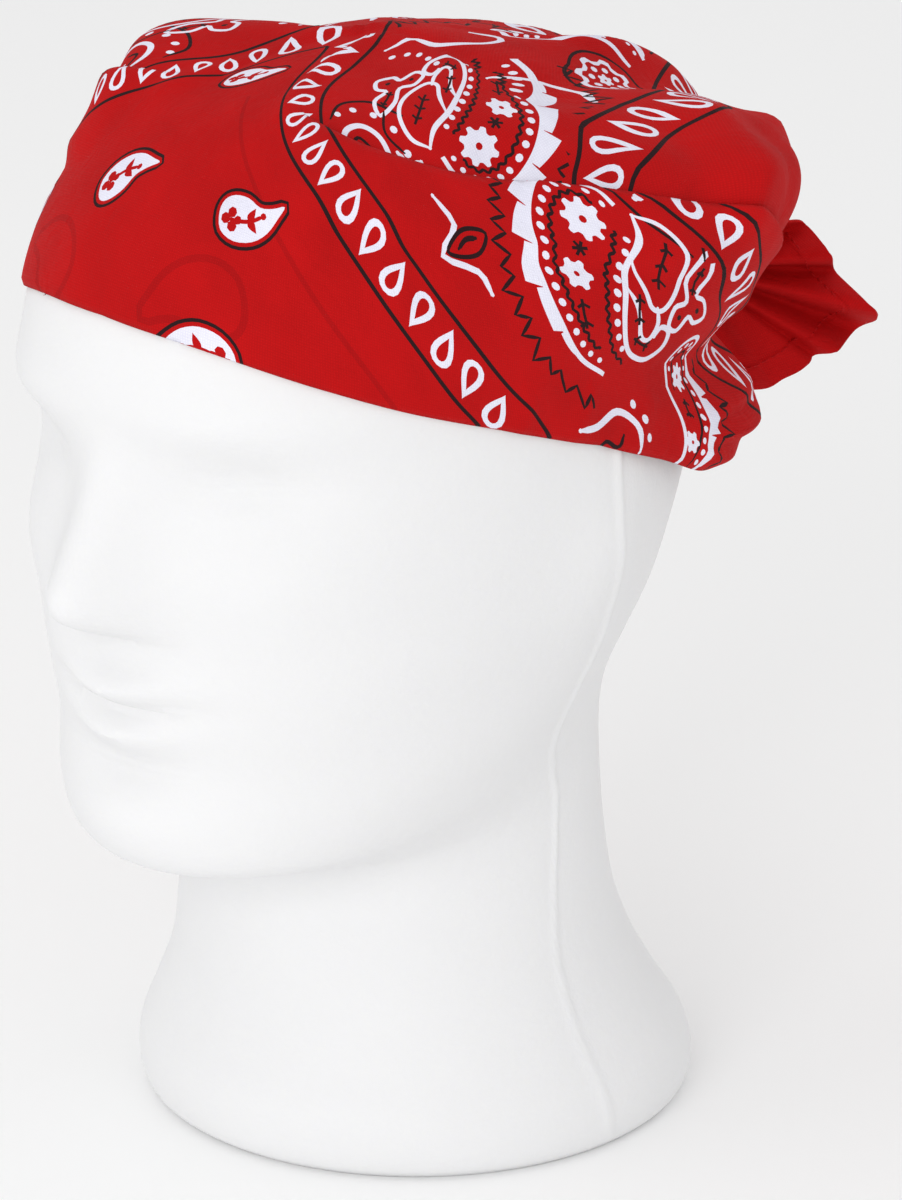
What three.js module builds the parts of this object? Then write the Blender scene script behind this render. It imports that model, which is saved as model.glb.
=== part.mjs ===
// A square cotton bandana, folded corner to corner and tied behind a foam display head.
// Millimetres, +Z up. The head faces -Y, its left side is +X, and its flat base is on z = 0.
import * as THREE from 'three';

// Driving sizes.
const clothWall = 1.2;           // two layers of cotton and the air between them
const headClearance = 0.6;       // cloth to foam where the cloth hugs the head
const seamGap = 0.4;             // between one stretch of cloth and the next
const lipLift = 2.8;             // how far the side's upper edge stands over the crown
const tuckDepth = 11;            // how far the crown runs in under that edge
const foreheadTopZ = 266;        // upper edge of the forehead stretch on the middle line
const kinkAngle = 29;            // degrees from the face, where the side starts to fold over
const backAngle = 166;           // degrees, where the side reaches the knot
const hemTilt = 5;               // the far side sits this much higher than the mean, the near side lower
const headSegments = 56;
const ringsPerRow = 1.5;
const headFoot = { x: 0, y: 2, z: 0 };
const headTop = { x: 0, y: -18, z: 282 };
const crownTopGap = 1.4;         // rows of headSections left open above the crown's last ring
const crownTopRise = 0.4;        // its middle stands this much above that ring

const foamColour = '#e9e8e6';
const clothColour = '#a31418';
const clothShade = '#8c1114';

// Sections up the head. Each ring is tilted: lowZ is its height at the face, highZ at the nape.
const headSections = [
  { lowZ: 0, highZ: 0, front: 67, back: 71, half: 69 },
  { lowZ: 3, highZ: 3, front: 70.5, back: 73.5, half: 72 },
  { lowZ: 9, highZ: 9, front: 72, back: 74, half: 73 },
  { lowZ: 17, highZ: 17, front: 71.5, back: 71, half: 71.5 },
  { lowZ: 27, highZ: 27, front: 67.5, back: 64, half: 67 },
  { lowZ: 40, highZ: 40, front: 64, back: 56.5, half: 61 },
  { lowZ: 52, highZ: 56, front: 63, back: 50, half: 57.5 },
  { lowZ: 64, highZ: 74, front: 63, back: 47, half: 55.5 },
  { lowZ: 74, highZ: 90, front: 64, back: 46, half: 54.5 },
  { lowZ: 81, highZ: 104, front: 71, back: 46.5, half: 54.5 },
  { lowZ: 84.5, highZ: 114, front: 86, back: 48.5, half: 56 },
  { lowZ: 87, highZ: 124, front: 98, back: 51, half: 58.5 },
  { lowZ: 92, highZ: 133, front: 104.5, back: 55, half: 61 },
  { lowZ: 101, highZ: 142, front: 106.5, back: 60.5, half: 64 },
  { lowZ: 116, highZ: 152, front: 105, back: 67, half: 67 },
  { lowZ: 134, highZ: 163, front: 108, back: 72, half: 69.5 },
  { lowZ: 149, highZ: 174, front: 109, back: 76, half: 71 },
  { lowZ: 164, highZ: 187, front: 109.5, back: 78, half: 72.5 },
  { lowZ: 181, highZ: 201, front: 108.5, back: 78.5, half: 73.5 },
  { lowZ: 197, highZ: 215, front: 109, back: 77.5, half: 74.5 },
  { lowZ: 209, highZ: 226, front: 111.5, back: 75, half: 74.5 },
  { lowZ: 221, highZ: 235, front: 111, back: 72, half: 73 },
  { lowZ: 233, highZ: 244, front: 108, back: 67, half: 70 },
  { lowZ: 245, highZ: 253, front: 102.5, back: 61.5, half: 65.5 },
  { lowZ: 256, highZ: 261, front: 94, back: 53, half: 58.5 },
  { lowZ: 265.5, highZ: 268, front: 83, back: 41, half: 50 },
  { lowZ: 273, highZ: 274, front: 69, back: 27, half: 40.5 },
  { lowZ: 278.5, highZ: 278.5, front: 47, back: 8, half: 25 },
  { lowZ: 281.5, highZ: 281.5, front: 24, back: -12, half: 6 },
];

// Soft bumps (out > 0) and hollows (out < 0) of the face, mirrored where side is above 0.
const faceFeatures = [
  { name: 'brow', side: 37, z: 207, out: 3.4, wide: 23, tall: 9 },
  { name: 'socket', side: 33, z: 189, out: -7.5, wide: 15, tall: 10 },
  { name: 'closed lid', side: 33, z: 185, out: 3.6, wide: 11, tall: 6 },
  { name: 'cheek', side: 46, z: 165, out: 3, wide: 16, tall: 15 },
  { name: 'upper lip', side: 0, z: 140.5, out: 5, wide: 20, tall: 4.6 },
  { name: 'mouth line', side: 0, z: 135, out: -3.2, wide: 22, tall: 2.4 },
  { name: 'lower lip', side: 0, z: 128.5, out: 4.5, wide: 17, tall: 4.6 },
  { name: 'lip crease', side: 0, z: 117.5, out: -3, wide: 20, tall: 5 },
  { name: 'chin', side: 0, z: 103, out: 3, wide: 20, tall: 10 },
];
const nose = { topZ: 206, tipZ: 165, baseZ: 151, length: 18.5, topWide: 7, tipWide: 14 };
const earBump = { y: -6, z: 163, out: 4, deep: 15, tall: 19 };

// Height of the lower edge of the cloth, by angle from the face, before the tilt.
const hemHeights = [
  { angle: 0, z: 231 }, { angle: 22, z: 228.5 }, { angle: 45, z: 220.5 }, { angle: 67, z: 209.5 },
  { angle: 90, z: 197.5 }, { angle: 105, z: 188 }, { angle: 120, z: 178.5 }, { angle: 135, z: 177.5 },
  { angle: 150, z: 186 }, { angle: 168, z: 197 }, { angle: 180, z: 198 },
];
// Height of the side's upper edge, where it laps over the crown.
const lipHeights = [
  { angle: 15, z: 279 }, { angle: 29, z: 274 }, { angle: 59, z: 265 }, { angle: 86, z: 255.5 },
  { angle: 98, z: 249 }, { angle: 110, z: 241 }, { angle: 122, z: 231 }, { angle: 135, z: 221 },
  { angle: 150, z: 215 }, { angle: 168, z: 213 }, { angle: 180, z: 213 },
];

// Where the cloth stands away from the skull, in degrees round and millimetres up.
const fullness = [
  { name: 'baggy back left', angle: 130, z: 238, out: 30, round: 36, tall: 19 },
  { name: 'baggy back right', angle: -130, z: 238, out: 26, round: 36, tall: 19 },
  { name: 'back middle', angle: 180, z: 241, out: 10, round: 24, tall: 20 },
  { name: 'back slope', angle: 160, z: 264, out: 2.5, round: 60, tall: 11 },
  { name: 'slack on top', angle: 150, z: 284, out: 3, round: 70, tall: 9 },
  { name: 'lower roll left', angle: 138, z: 183, out: 15, round: 26, tall: 15 },
  { name: 'lower roll right', angle: -138, z: 183, out: 12, round: 26, tall: 15 },
  { name: 'puff over the far temple', angle: -64, z: 271, out: 11, round: 30, tall: 9 },
];

// The knot at the back of the head, and the loose ends that leave it. half is half the width of
// an end there, and cup is how far its middle is dished.
const knotCentre = { x: 0, y: 91.5, z: 205 };
const knotSize = { x: 19, y: 9.5, z: 12.5 };
const knotValley = { depth: 0.12, lean: 0.35, width: 0.16 };
const knotSquareness = 0.82;     // under 1 fills the corners of the round
const leftEnd = [
  { x: 20.5, y: 94, z: 205, half: 7, cup: 1 },
  { x: 25, y: 101, z: 201, half: 18, cup: 4 },
  { x: 30, y: 107.5, z: 197, half: 21, cup: 5 },
  { x: 36, y: 114, z: 193, half: 17, cup: 4 },
  { x: 43, y: 120, z: 189, half: 9, cup: 2 },
  { x: 49, y: 125, z: 186.5, half: 3, cup: 0.5 },
];
const rightEnd = [
  { x: -20.5, y: 94, z: 203, half: 7, cup: 1 },
  { x: -25.5, y: 101, z: 199, half: 16, cup: 4 },
  { x: -31, y: 107, z: 193, half: 18, cup: 5 },
  { x: -37, y: 112.5, z: 185, half: 14, cup: 4 },
  { x: -42, y: 116.5, z: 176, half: 8, cup: 2 },
  { x: -45.5, y: 119, z: 168, half: 3, cup: 0.5 },
];
// The corner that hangs below the knot.
const corner = { topZ: 201.5, tipZ: 146, halfAngle: 13, tipShare: 0.07, standOff: 0.8 };

// The largest folds: soft ridges (rise > 0) and troughs, from one end to the other.
const folds = [
  { fromAngle: 40, fromZ: 264, toAngle: 128, toZ: 226, rise: -2, wide: 9 },
  { fromAngle: 84, fromZ: 262, toAngle: 140, toZ: 234, rise: 2.6, wide: 10 },
  { fromAngle: 100, fromZ: 276, toAngle: 146, toZ: 240, rise: -2.4, wide: 9 },
  { fromAngle: 96, fromZ: 216, toAngle: 150, toZ: 206, rise: 2.2, wide: 9 },
  { fromAngle: -84, fromZ: 260, toAngle: -140, toZ: 236, rise: 2.4, wide: 10 },
  { fromAngle: -104, fromZ: 274, toAngle: -148, toZ: 246, rise: -2.2, wide: 10 },
  { fromAngle: -92, fromZ: 214, toAngle: -150, toZ: 206, rise: 2, wide: 9 },
  { fromAngle: 150, fromZ: 274, toAngle: 172, toZ: 230, rise: 2.2, wide: 10 },
];

const rad = THREE.MathUtils.degToRad;
const bell = (distance, width) => Math.exp(-((distance / width) ** 2));
const angleBetween = (a, b) => ((a - b + 900) % 360) - 180;

// Catmull-Rom through equally spaced values.
function smoothValue(values, at) {
  const last = values.length - 1;
  const i = Math.min(Math.max(Math.floor(at), 0), last - 1);
  const f = at - i;
  const a = values[Math.max(i - 1, 0)];
  const b = values[i];
  const c = values[i + 1];
  const d = values[Math.min(i + 2, last)];
  return 0.5 * (2 * b + (c - a) * f + (2 * a - 5 * b + 4 * c - d) * f * f + (3 * b - a - 3 * c + d) * f ** 3);
}

// A height read from a table by angle, the same on both sides of the head.
function heightAt(table, degrees) {
  const angle = Math.abs(angleBetween(degrees, 0));
  let i = 1;
  while (i < table.length - 1 && table[i].angle < angle) i += 1;
  const share = (angle - table[i - 1].angle) / (table[i].angle - table[i - 1].angle);
  return smoothValue(table.map((row) => row.z), i - 1 + THREE.MathUtils.clamp(share, 0, 1));
}

// A point of the bare skull: level runs along headSections, angle is in degrees from the face.
function skullPoint(level, degrees) {
  const pick = (name) => smoothValue(headSections.map((row) => row[name]), level);
  const front = -pick('front');
  const back = pick('back');
  const y = (front + back) / 2 - ((back - front) / 2) * Math.cos(rad(degrees));
  const share = (y - front) / Math.max(back - front, 1e-6);
  return new THREE.Vector3(
    pick('half') * Math.sin(rad(degrees)), y, THREE.MathUtils.lerp(pick('lowZ'), pick('highZ'), share));
}

function noseShape({ x, z }) {
  if (z <= nose.baseZ || z >= nose.topZ) return 0;
  const down = THREE.MathUtils.clamp((nose.topZ - z) / (nose.topZ - nose.tipZ), 0, 1);
  const under = z < nose.tipZ - 3 ? (z - nose.baseZ) / (nose.tipZ - 3 - nose.baseZ) : 1;
  const width = THREE.MathUtils.lerp(nose.topWide, nose.tipWide, down);
  return nose.length * down ** 1.3 * (1 - (1 - under) ** 2) * bell(x, width);
}

function faceShape({ x, y, z }) {
  if (y > -30) return 0;
  let out = noseShape({ x, z });
  for (const f of faceFeatures) {
    const sides = f.side > 0 ? [-f.side, f.side] : [0];
    for (const side of sides) out += f.out * bell(x - side, f.wide) * bell(z - f.z, f.tall);
  }
  return out * Math.min(1, (-30 - y) / 40);
}

function headPoint(level, degrees) {
  const p = skullPoint(level, degrees);
  const ear = earBump.out * bell(p.y - earBump.y, earBump.deep) * bell(p.z - earBump.z, earBump.tall);
  p.x += Math.sign(p.x) * ear;
  p.y -= faceShape(p);
  return p;
}

// The level whose ring passes the given height at this angle.
function levelAt(height, degrees) {
  let low = 0;
  let high = headSections.length - 1;
  for (let i = 0; i < 40; i += 1) {
    const middle = (low + high) / 2;
    if (skullPoint(middle, degrees).z < height) low = middle;
    else high = middle;
  }
  return (low + high) / 2;
}

function skullNormal(level, degrees) {
  const step = 0.15;
  const top = Math.min(level + step, headSections.length - 1);
  const up = skullPoint(top, degrees).sub(skullPoint(top - 2 * step, degrees));
  const round = skullPoint(level, degrees + 1).sub(skullPoint(level, degrees - 1));
  return round.cross(up).normalize();
}

// How far the outer face of the cloth stands off the skull.
function standOff(degrees, height) {
  let off = headClearance + clothWall;
  for (const f of fullness) {
    off += f.out * bell(angleBetween(degrees, f.angle), f.round) * bell(height - f.z, f.tall);
  }
  for (const f of folds) {
    const span = f.toAngle - f.fromAngle;
    const along = (degrees - f.fromAngle) / span;
    if (along <= 0 || along >= 1) continue;
    const middle = THREE.MathUtils.lerp(f.fromZ, f.toZ, along);
    off += f.rise * Math.sin(Math.PI * along) ** 0.6 * bell(height - middle, f.wide);
  }
  return Math.max(off, headClearance + clothWall);
}

function clothPoint(level, degrees, extra = 0) {
  const p = headPoint(level, degrees);
  return p.addScaledVector(skullNormal(level, degrees), standOff(degrees, p.z) + extra);
}

function meshFrom(name, positions, indices, colour, roughness) {
  const geometry = new THREE.BufferGeometry();
  geometry.setAttribute('position', new THREE.Float32BufferAttribute(positions, 3));
  geometry.setIndex(indices);
  geometry.computeVertexNormals();
  const material = new THREE.MeshStandardMaterial({ color: colour, roughness, metalness: 0 });
  const mesh = new THREE.Mesh(geometry, material);
  mesh.name = name;
  return mesh;
}

// A closed wall: the outer sheet rows[j][i], the same sheet moved in by the wall, and a rim.
// A ring closes on itself round i, and a cap closes the last row in one point.
function wall(name, outer, inner, { ring = false, cap = null } = {}) {
  const positions = [];
  const indices = [];
  const rows = outer.length;
  const columns = outer[0].length;
  for (const sheet of [outer, inner]) {
    for (const row of sheet) for (const p of row) positions.push(p.x, p.y, p.z);
  }
  const at = (side, j, i) => side * rows * columns + j * columns + (i % columns);
  const quad = (a, b, c, d) => indices.push(a, b, c, a, c, d);
  const spans = ring ? columns : columns - 1;
  for (let j = 0; j < rows - 1; j += 1) {
    for (let i = 0; i < spans; i += 1) {
      quad(at(0, j, i), at(0, j, i + 1), at(0, j + 1, i + 1), at(0, j + 1, i));
      quad(at(1, j, i), at(1, j + 1, i), at(1, j + 1, i + 1), at(1, j, i + 1));
    }
  }
  for (let i = 0; i < spans; i += 1) {
    quad(at(1, 0, i), at(1, 0, i + 1), at(0, 0, i + 1), at(0, 0, i));
    if (cap) continue;
    quad(at(0, rows - 1, i), at(0, rows - 1, i + 1), at(1, rows - 1, i + 1), at(1, rows - 1, i));
  }
  if (!ring) {
    for (let j = 0; j < rows - 1; j += 1) {
      quad(at(0, j, 0), at(0, j + 1, 0), at(1, j + 1, 0), at(1, j, 0));
      quad(at(0, j, spans), at(1, j, spans), at(1, j + 1, spans), at(0, j + 1, spans));
    }
  }
  if (cap) {
    const outerTip = positions.length / 3;
    positions.push(cap.outer.x, cap.outer.y, cap.outer.z, cap.inner.x, cap.inner.y, cap.inner.z);
    for (let i = 0; i < spans; i += 1) {
      indices.push(at(0, rows - 1, i), at(0, rows - 1, i + 1), outerTip);
      indices.push(at(1, rows - 1, i + 1), at(1, rows - 1, i), outerTip + 1);
    }
  }
  return meshFrom(name, positions, indices, name.startsWith('end') ? clothShade : clothColour, 0.9);
}

// The display head: rings from the flat foot to the top, each closed by a fan of triangles at its end.
function displayHead() {
  const levels = Math.round((headSections.length - 1) * ringsPerRow);
  const positions = [];
  const indices = [];
  for (let j = 0; j <= levels; j += 1) {
    for (let i = 0; i < headSegments; i += 1) {
      const level = (j / levels) * (headSections.length - 1);
      const p = headPoint(level, (i / headSegments) * 360);
      positions.push(p.x, p.y, p.z);
    }
  }
  const at = (j, i) => j * headSegments + (i % headSegments);
  for (let j = 0; j < levels; j += 1) {
    for (let i = 0; i < headSegments; i += 1) {
      indices.push(at(j, i), at(j, i + 1), at(j + 1, i + 1), at(j, i), at(j + 1, i + 1), at(j + 1, i));
    }
  }
  const foot = positions.length / 3;
  positions.push(headFoot.x, headFoot.y, headFoot.z, headTop.x, headTop.y, headTop.z);
  for (let i = 0; i < headSegments; i += 1) {
    indices.push(at(0, i + 1), at(0, i), foot);
    indices.push(at(levels, i), at(levels, i + 1), foot + 1);
  }
  return meshFrom('head', positions, indices, foamColour, 0.75);
}

// A stretch of cloth on the head, between two edges given as heights by angle.
function stretch(name, fromAngle, toAngle, columns, rows, lowerAt, upperAt, extraAt) {
  const outer = [];
  const inner = [];
  for (let j = 0; j <= rows; j += 1) {
    outer.push([]);
    inner.push([]);
    for (let i = 0; i <= columns; i += 1) {
      const angle = THREE.MathUtils.lerp(fromAngle, toAngle, i / columns);
      const low = levelAt(lowerAt(angle), angle);
      const high = levelAt(upperAt(angle), angle);
      const level = THREE.MathUtils.lerp(low, high, j / rows);
      const extra = extraAt(angle, skullPoint(level, angle).z);
      outer[j].push(clothPoint(level, angle, extra));
      inner[j].push(clothPoint(level, angle, extra - clothWall));
    }
  }
  return wall(name, outer, inner);
}

const hemAt = (angle) => heightAt(hemHeights, angle) - hemTilt * Math.sin(rad(angle));
const tuckAt = (angle) => heightAt(lipHeights, angle) - tuckDepth;
const foreheadTop = (angle) => THREE.MathUtils.lerp(
  foreheadTopZ, tuckAt(kinkAngle), (angle / kinkAngle) ** 2);
const crownEdgeAt = (angle) => (Math.abs(angle) < kinkAngle ? foreheadTop(angle) : tuckAt(angle));

function foreheadStretch() {
  const edge = kinkAngle - 0.3;
  return stretch('forehead', -edge, edge, 20, 8, hemAt, (angle) => foreheadTop(angle) - seamGap, () => 0);
}

// The side rises over the crown's edge in its last few millimetres.
function sideStretch(name, side) {
  const lift = (angle, height) => {
    const inside = tuckAt(angle) - 7;
    return lipLift * THREE.MathUtils.smoothstep(height, inside, inside + 6);
  };
  return stretch(name, side > 0 ? kinkAngle : -backAngle, side > 0 ? backAngle : -kinkAngle,
    26, 9, hemAt, (angle) => heightAt(lipHeights, angle), lift);
}

function crown() {
  const columns = 64;
  const rows = 13;
  const outer = [];
  const inner = [];
  const top = headSections.length - crownTopGap;
  for (let j = 0; j <= rows; j += 1) {
    outer.push([]);
    inner.push([]);
    for (let i = 0; i < columns; i += 1) {
      const angle = (i / columns) * 360 - 180;
      const level = THREE.MathUtils.lerp(levelAt(crownEdgeAt(angle), angle), top, j / rows);
      outer[j].push(clothPoint(level, angle));
      inner[j].push(clothPoint(level, angle, -clothWall));
    }
  }
  const middle = (row) => row.reduce((sum, p) => sum.add(p), new THREE.Vector3()).divideScalar(columns);
  const cap = { outer: middle(outer[rows]), inner: middle(inner[rows]) };
  cap.outer.z += crownTopRise;
  cap.inner.z += crownTopRise;
  return wall('crown', outer, inner, { ring: true, cap });
}

// The corner below the knot narrows to a point, one layer over the nape.
function backCorner() {
  const columns = 6;
  const rows = 9;
  const outer = [];
  const inner = [];
  for (let j = 0; j <= rows; j += 1) {
    outer.push([]);
    inner.push([]);
    const half = corner.halfAngle * THREE.MathUtils.lerp(corner.tipShare, 1, j / rows);
    for (let i = 0; i <= columns; i += 1) {
      const angle = 180 - half + (2 * half * i) / columns;
      const level = levelAt(THREE.MathUtils.lerp(corner.tipZ, corner.topZ, j / rows), angle);
      outer[j].push(clothPoint(level, angle, corner.standOff));
      inner[j].push(clothPoint(level, angle, corner.standOff - clothWall));
    }
  }
  return wall('corner', outer, inner);
}

// The knot: one fat turn of rolled cloth, with a shallow valley across it on each side.
function knot() {
  const geometry = new THREE.SphereGeometry(1, 28, 16);
  const places = geometry.attributes.position;
  const p = new THREE.Vector3();
  for (let i = 0; i < places.count; i += 1) {
    p.fromBufferAttribute(places, i);
    const squared = (v) => Math.sign(v) * Math.abs(v) ** knotSquareness;
    const valley = 1 - knotValley.depth * bell(p.x - knotValley.lean * p.z, knotValley.width);
    places.setXYZ(i, squared(p.x) * knotSize.x, squared(p.y) * valley * knotSize.y,
      squared(p.z) * valley * knotSize.z);
  }
  const material = new THREE.MeshStandardMaterial({ color: clothColour, roughness: 0.9 });
  const mesh = new THREE.Mesh(geometry, material);
  mesh.name = 'knot';
  mesh.position.copy(knotCentre);
  return mesh;
}

// A loose end: a dished fan from the knot to its tip.
function looseEnd(name, table) {
  const columns = 8;
  const rows = 14;
  const outer = [];
  const inner = [];
  const pick = (key, at) => smoothValue(table.map((row) => row[key]), at);
  const middleAt = (at) => new THREE.Vector3(pick('x', at), pick('y', at), pick('z', at));
  const last = table.length - 1;
  const step = 0.05;
  const bowAngle = 2.4;          // how far round the dish curls, in radians to each edge
  const bowRest = 0.4;           // the share of the dish that lies behind the middle line
  const sheet = (at, across) => {
    const ahead = middleAt(Math.min(at + 2 * step, last));
    const along = ahead.sub(middleAt(Math.max(at - 2 * step, 0))).normalize();
    const out = along.clone().cross(new THREE.Vector3(0, 0, 1)).normalize();
    const up = out.clone().cross(along).normalize();
    return middleAt(at).addScaledVector(up, across * pick('half', at))
      .addScaledVector(out, pick('cup', at) * (Math.cos(across * bowAngle) - bowRest));
  };
  for (let j = 0; j <= rows; j += 1) {
    outer.push([]);
    inner.push([]);
    const at = (j / rows) * last;
    for (let i = 0; i <= columns; i += 1) {
      const across = (2 * i) / columns - 1;
      const p = sheet(at, across);
      const sideways = sheet(at, across + step).sub(sheet(at, across - step));
      const ahead = sheet(Math.min(at + step, last), across);
      const forward = ahead.sub(sheet(Math.max(at - step, 0), across));
      const normal = sideways.cross(forward).normalize();
      outer[j].push(p.clone().addScaledVector(normal, clothWall / 2));
      inner[j].push(p.clone().addScaledVector(normal, -clothWall / 2));
    }
  }
  return wall(name, outer, inner);
}

const bandana = new THREE.Group();
bandana.name = 'bandana_on_display_head';
bandana.add(
  displayHead(), foreheadStretch(), sideStretch('side_left', 1), sideStretch('side_right', -1), crown(),
  backCorner(), knot(), looseEnd('end_left', leftEnd), looseEnd('end_right', rightEnd));

export default bandana;
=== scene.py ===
import math
import random

import bmesh
import bpy
import numpy as np
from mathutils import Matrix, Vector
from mathutils.bvhtree import BVHTree
from mathutils.geometry import delaunay_2d_cdt


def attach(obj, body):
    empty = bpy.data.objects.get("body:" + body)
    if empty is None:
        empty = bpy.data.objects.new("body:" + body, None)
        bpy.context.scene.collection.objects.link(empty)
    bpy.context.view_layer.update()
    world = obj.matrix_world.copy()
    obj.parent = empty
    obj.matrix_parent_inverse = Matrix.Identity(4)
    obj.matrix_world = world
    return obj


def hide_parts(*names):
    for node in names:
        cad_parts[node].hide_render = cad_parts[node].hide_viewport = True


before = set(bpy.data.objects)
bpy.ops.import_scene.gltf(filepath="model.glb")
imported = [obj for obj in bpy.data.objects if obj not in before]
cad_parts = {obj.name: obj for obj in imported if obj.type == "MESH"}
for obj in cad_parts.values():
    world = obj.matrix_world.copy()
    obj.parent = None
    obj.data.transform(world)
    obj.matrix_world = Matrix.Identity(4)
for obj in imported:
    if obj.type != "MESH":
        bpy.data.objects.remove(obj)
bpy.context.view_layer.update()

mm = 0.001
bpy.ops.object.select_all(action="DESELECT")

cameraPlace = dict(
    azimuth=42.0,        # degrees from the face towards the head's left
    away=1.3,            # metres from the head's upright line
    height=0.579,
    turn=-0.445,         # degrees off that line
    pitch=18.99,         # degrees down
    lens=160.0,
)


def addCamera():
    data = bpy.data.cameras.new("camera")
    data.lens = cameraPlace["lens"]
    data.sensor_width = 36.0
    data.clip_start = 0.05
    data.clip_end = 20.0
    camera = bpy.data.objects.new("camera", data)
    bpy.context.collection.objects.link(camera)
    azimuth, away = math.radians(cameraPlace["azimuth"]), cameraPlace["away"]
    camera.location = (away * math.sin(azimuth), -away * math.cos(azimuth), cameraPlace["height"])
    camera.rotation_euler = (math.radians(90 - cameraPlace["pitch"]), 0,
                             azimuth + math.radians(cameraPlace["turn"]))
    bpy.context.scene.camera = camera


addCamera()
print("camera placed")

# Rings up the head, in millimetres: low is a ring's height at the face, high at the nape.
headRings = dict(
    low=[0, 3, 9, 17, 27, 40, 52, 64, 74, 81, 84.5, 87, 92, 101, 116, 134, 149, 164, 181, 197, 209, 221,
         233, 245, 256, 265.5, 273, 278.5, 281.5, 282],
    high=[0, 3, 9, 17, 27, 40, 56, 74, 90, 104, 114, 124, 133, 142, 152, 163, 174, 187, 201, 215, 226, 235,
          244, 253, 261, 268, 274, 278.5, 281.5, 282],
    front=[67, 70.5, 72, 71.5, 67.5, 64, 63, 63, 64, 71, 86, 98, 104.5, 106.5, 105, 108, 109, 109.5, 108.5,
           109, 111.5, 111, 108, 102.5, 94, 83, 69, 47, 24, 18],
    back=[71, 73.5, 74, 71, 64, 56.5, 50, 47, 46, 46.5, 48.5, 51, 55, 60.5, 67, 72, 76, 78, 78.5, 77.5, 75,
          72, 67, 61.5, 53, 41, 27, 8, -12, -18],
    half=[69, 72, 73, 71.5, 67, 61, 57.5, 55.5, 54.5, 54.5, 56, 58.5, 61, 64, 67, 69.5, 71, 72.5, 73.5, 74.5,
          74.5, 73, 70, 65.5, 58.5, 50, 40.5, 25, 6, 0],
)
headTop = len(headRings["low"]) - 1

faceForms = dict(
    name=["brow", "socket", "lid", "cheek", "upper lip", "mouth line", "lower lip", "lip crease", "chin"],
    side=[37, 33, 33, 46, 0, 0, 0, 0, 0],
    z=[207, 189, 185, 165, 140.5, 135, 128.5, 117.5, 103],
    out=[3.4, -8.5, 4.0, 3, 5.0, -3.4, 4.7, -3.2, 3],
    wide=[23, 15, 11, 16, 20, 22, 17, 20, 20],
    tall=[9, 10, 6, 15, 4.8, 3.0, 4.8, 5, 10],
    sag=[0, 0, 0, 0, 3, 3.4, 3, 2, 0],      # how much lower it lies on the middle line
    sagWide=16,
    behind=30, fadeOver=40,                 # the face fades in from here forward
)
noseForm = dict(topZ=206, tipZ=165, underZ=162, baseZ=151, length=18.5, topWide=7, tipWide=14)
earForm = dict(y=-6, z=163, out=4, deep=15, tall=19)


def bell(distance, width):
    return np.exp(-(distance / width) ** 2)


# The length along a line of points, from its first one.
def runAlong(points):
    return np.concatenate([[0], np.cumsum(np.linalg.norm(np.diff(points, axis=0), axis=1))])


def unitLength(vectors):
    return vectors / np.maximum(np.linalg.norm(vectors, axis=-1, keepdims=True), 1e-9)


def smoothStep(x, low, high):
    t = np.clip((np.asarray(x, float) - low) / (high - low), 0, 1)
    return t * t * (3 - 2 * t)


# A smooth curve through four values, at f of the way from b to c.
def smoothBetween(a, b, c, d, f):
    return 0.5 * (2 * b + (c - a) * f + (2 * a - 5 * b + 4 * c - d) * f ** 2
                  + (3 * b - a - 3 * c + d) * f ** 3)


def smoothColumn(values, at):
    values = np.asarray(values, float)
    at = np.asarray(at, float)
    last = len(values) - 1
    i = np.clip(np.floor(at).astype(int), 0, last - 1)
    f = at - i
    a, b, c, d = values[np.maximum(i - 1, 0)], values[i], values[i + 1], values[np.minimum(i + 2, last)]
    return smoothBetween(a, b, c, d, f)


def turnBetween(a, b):
    return (np.asarray(a, float) - b + 180) % 360 - 180


# angle is in degrees from the face towards the head's left, level runs along headRings
def skullPoint(level, angle):
    low, high, front, back, half = (smoothColumn(headRings[k], level)
                                    for k in ("low", "high", "front", "back", "half"))
    turn = np.radians(angle)
    y = (back - front) / 2 - (back + front) / 2 * np.cos(turn)
    share = (y + front) / np.maximum(back + front, 1e-6)
    return np.stack([half * np.sin(turn), y, low + (high - low) * share], -1)


def noseOut(x, z):
    n = noseForm
    down = np.clip((n["topZ"] - z) / (n["topZ"] - n["tipZ"]), 0, 1)
    under = np.clip((z - n["baseZ"]) / (n["underZ"] - n["baseZ"]), 0, 1)
    wide = n["topWide"] + (n["tipWide"] - n["topWide"]) * down
    return n["length"] * down ** 1.3 * (1 - (1 - under) ** 2) * bell(x, wide)


def headPoint(level, angle):
    p = skullPoint(level, angle)
    x, y, z = p[..., 0], p[..., 1], p[..., 2]
    out = noseOut(x, z)
    f = faceForms
    for i, side in enumerate(f["side"]):
        height = f["z"][i] - f["sag"][i] * bell(x, f["sagWide"])
        for s in ((-side, side) if side else (0,)):
            out = out + f["out"][i] * bell(x - s, f["wide"][i]) * bell(z - height, f["tall"][i])
    ear = earForm["out"] * bell(y - earForm["y"], earForm["deep"]) * bell(z - earForm["z"], earForm["tall"])
    fore = np.clip((-f["behind"] - y) / f["fadeOver"], 0, 1)
    return np.stack([x + np.sign(x) * ear, y - out * fore, z], -1)


def skullNormal(level, angle):
    step, nearTop = 0.3, headTop - 0.05
    above = np.clip(level + step / 2, step, nearTop)
    level = np.minimum(level, nearTop)
    up = skullPoint(above, angle) - skullPoint(above - step, angle)
    around = skullPoint(level, np.asarray(angle) + 1) - skullPoint(level, np.asarray(angle) - 1)
    return unitLength(np.cross(around, up))


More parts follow.
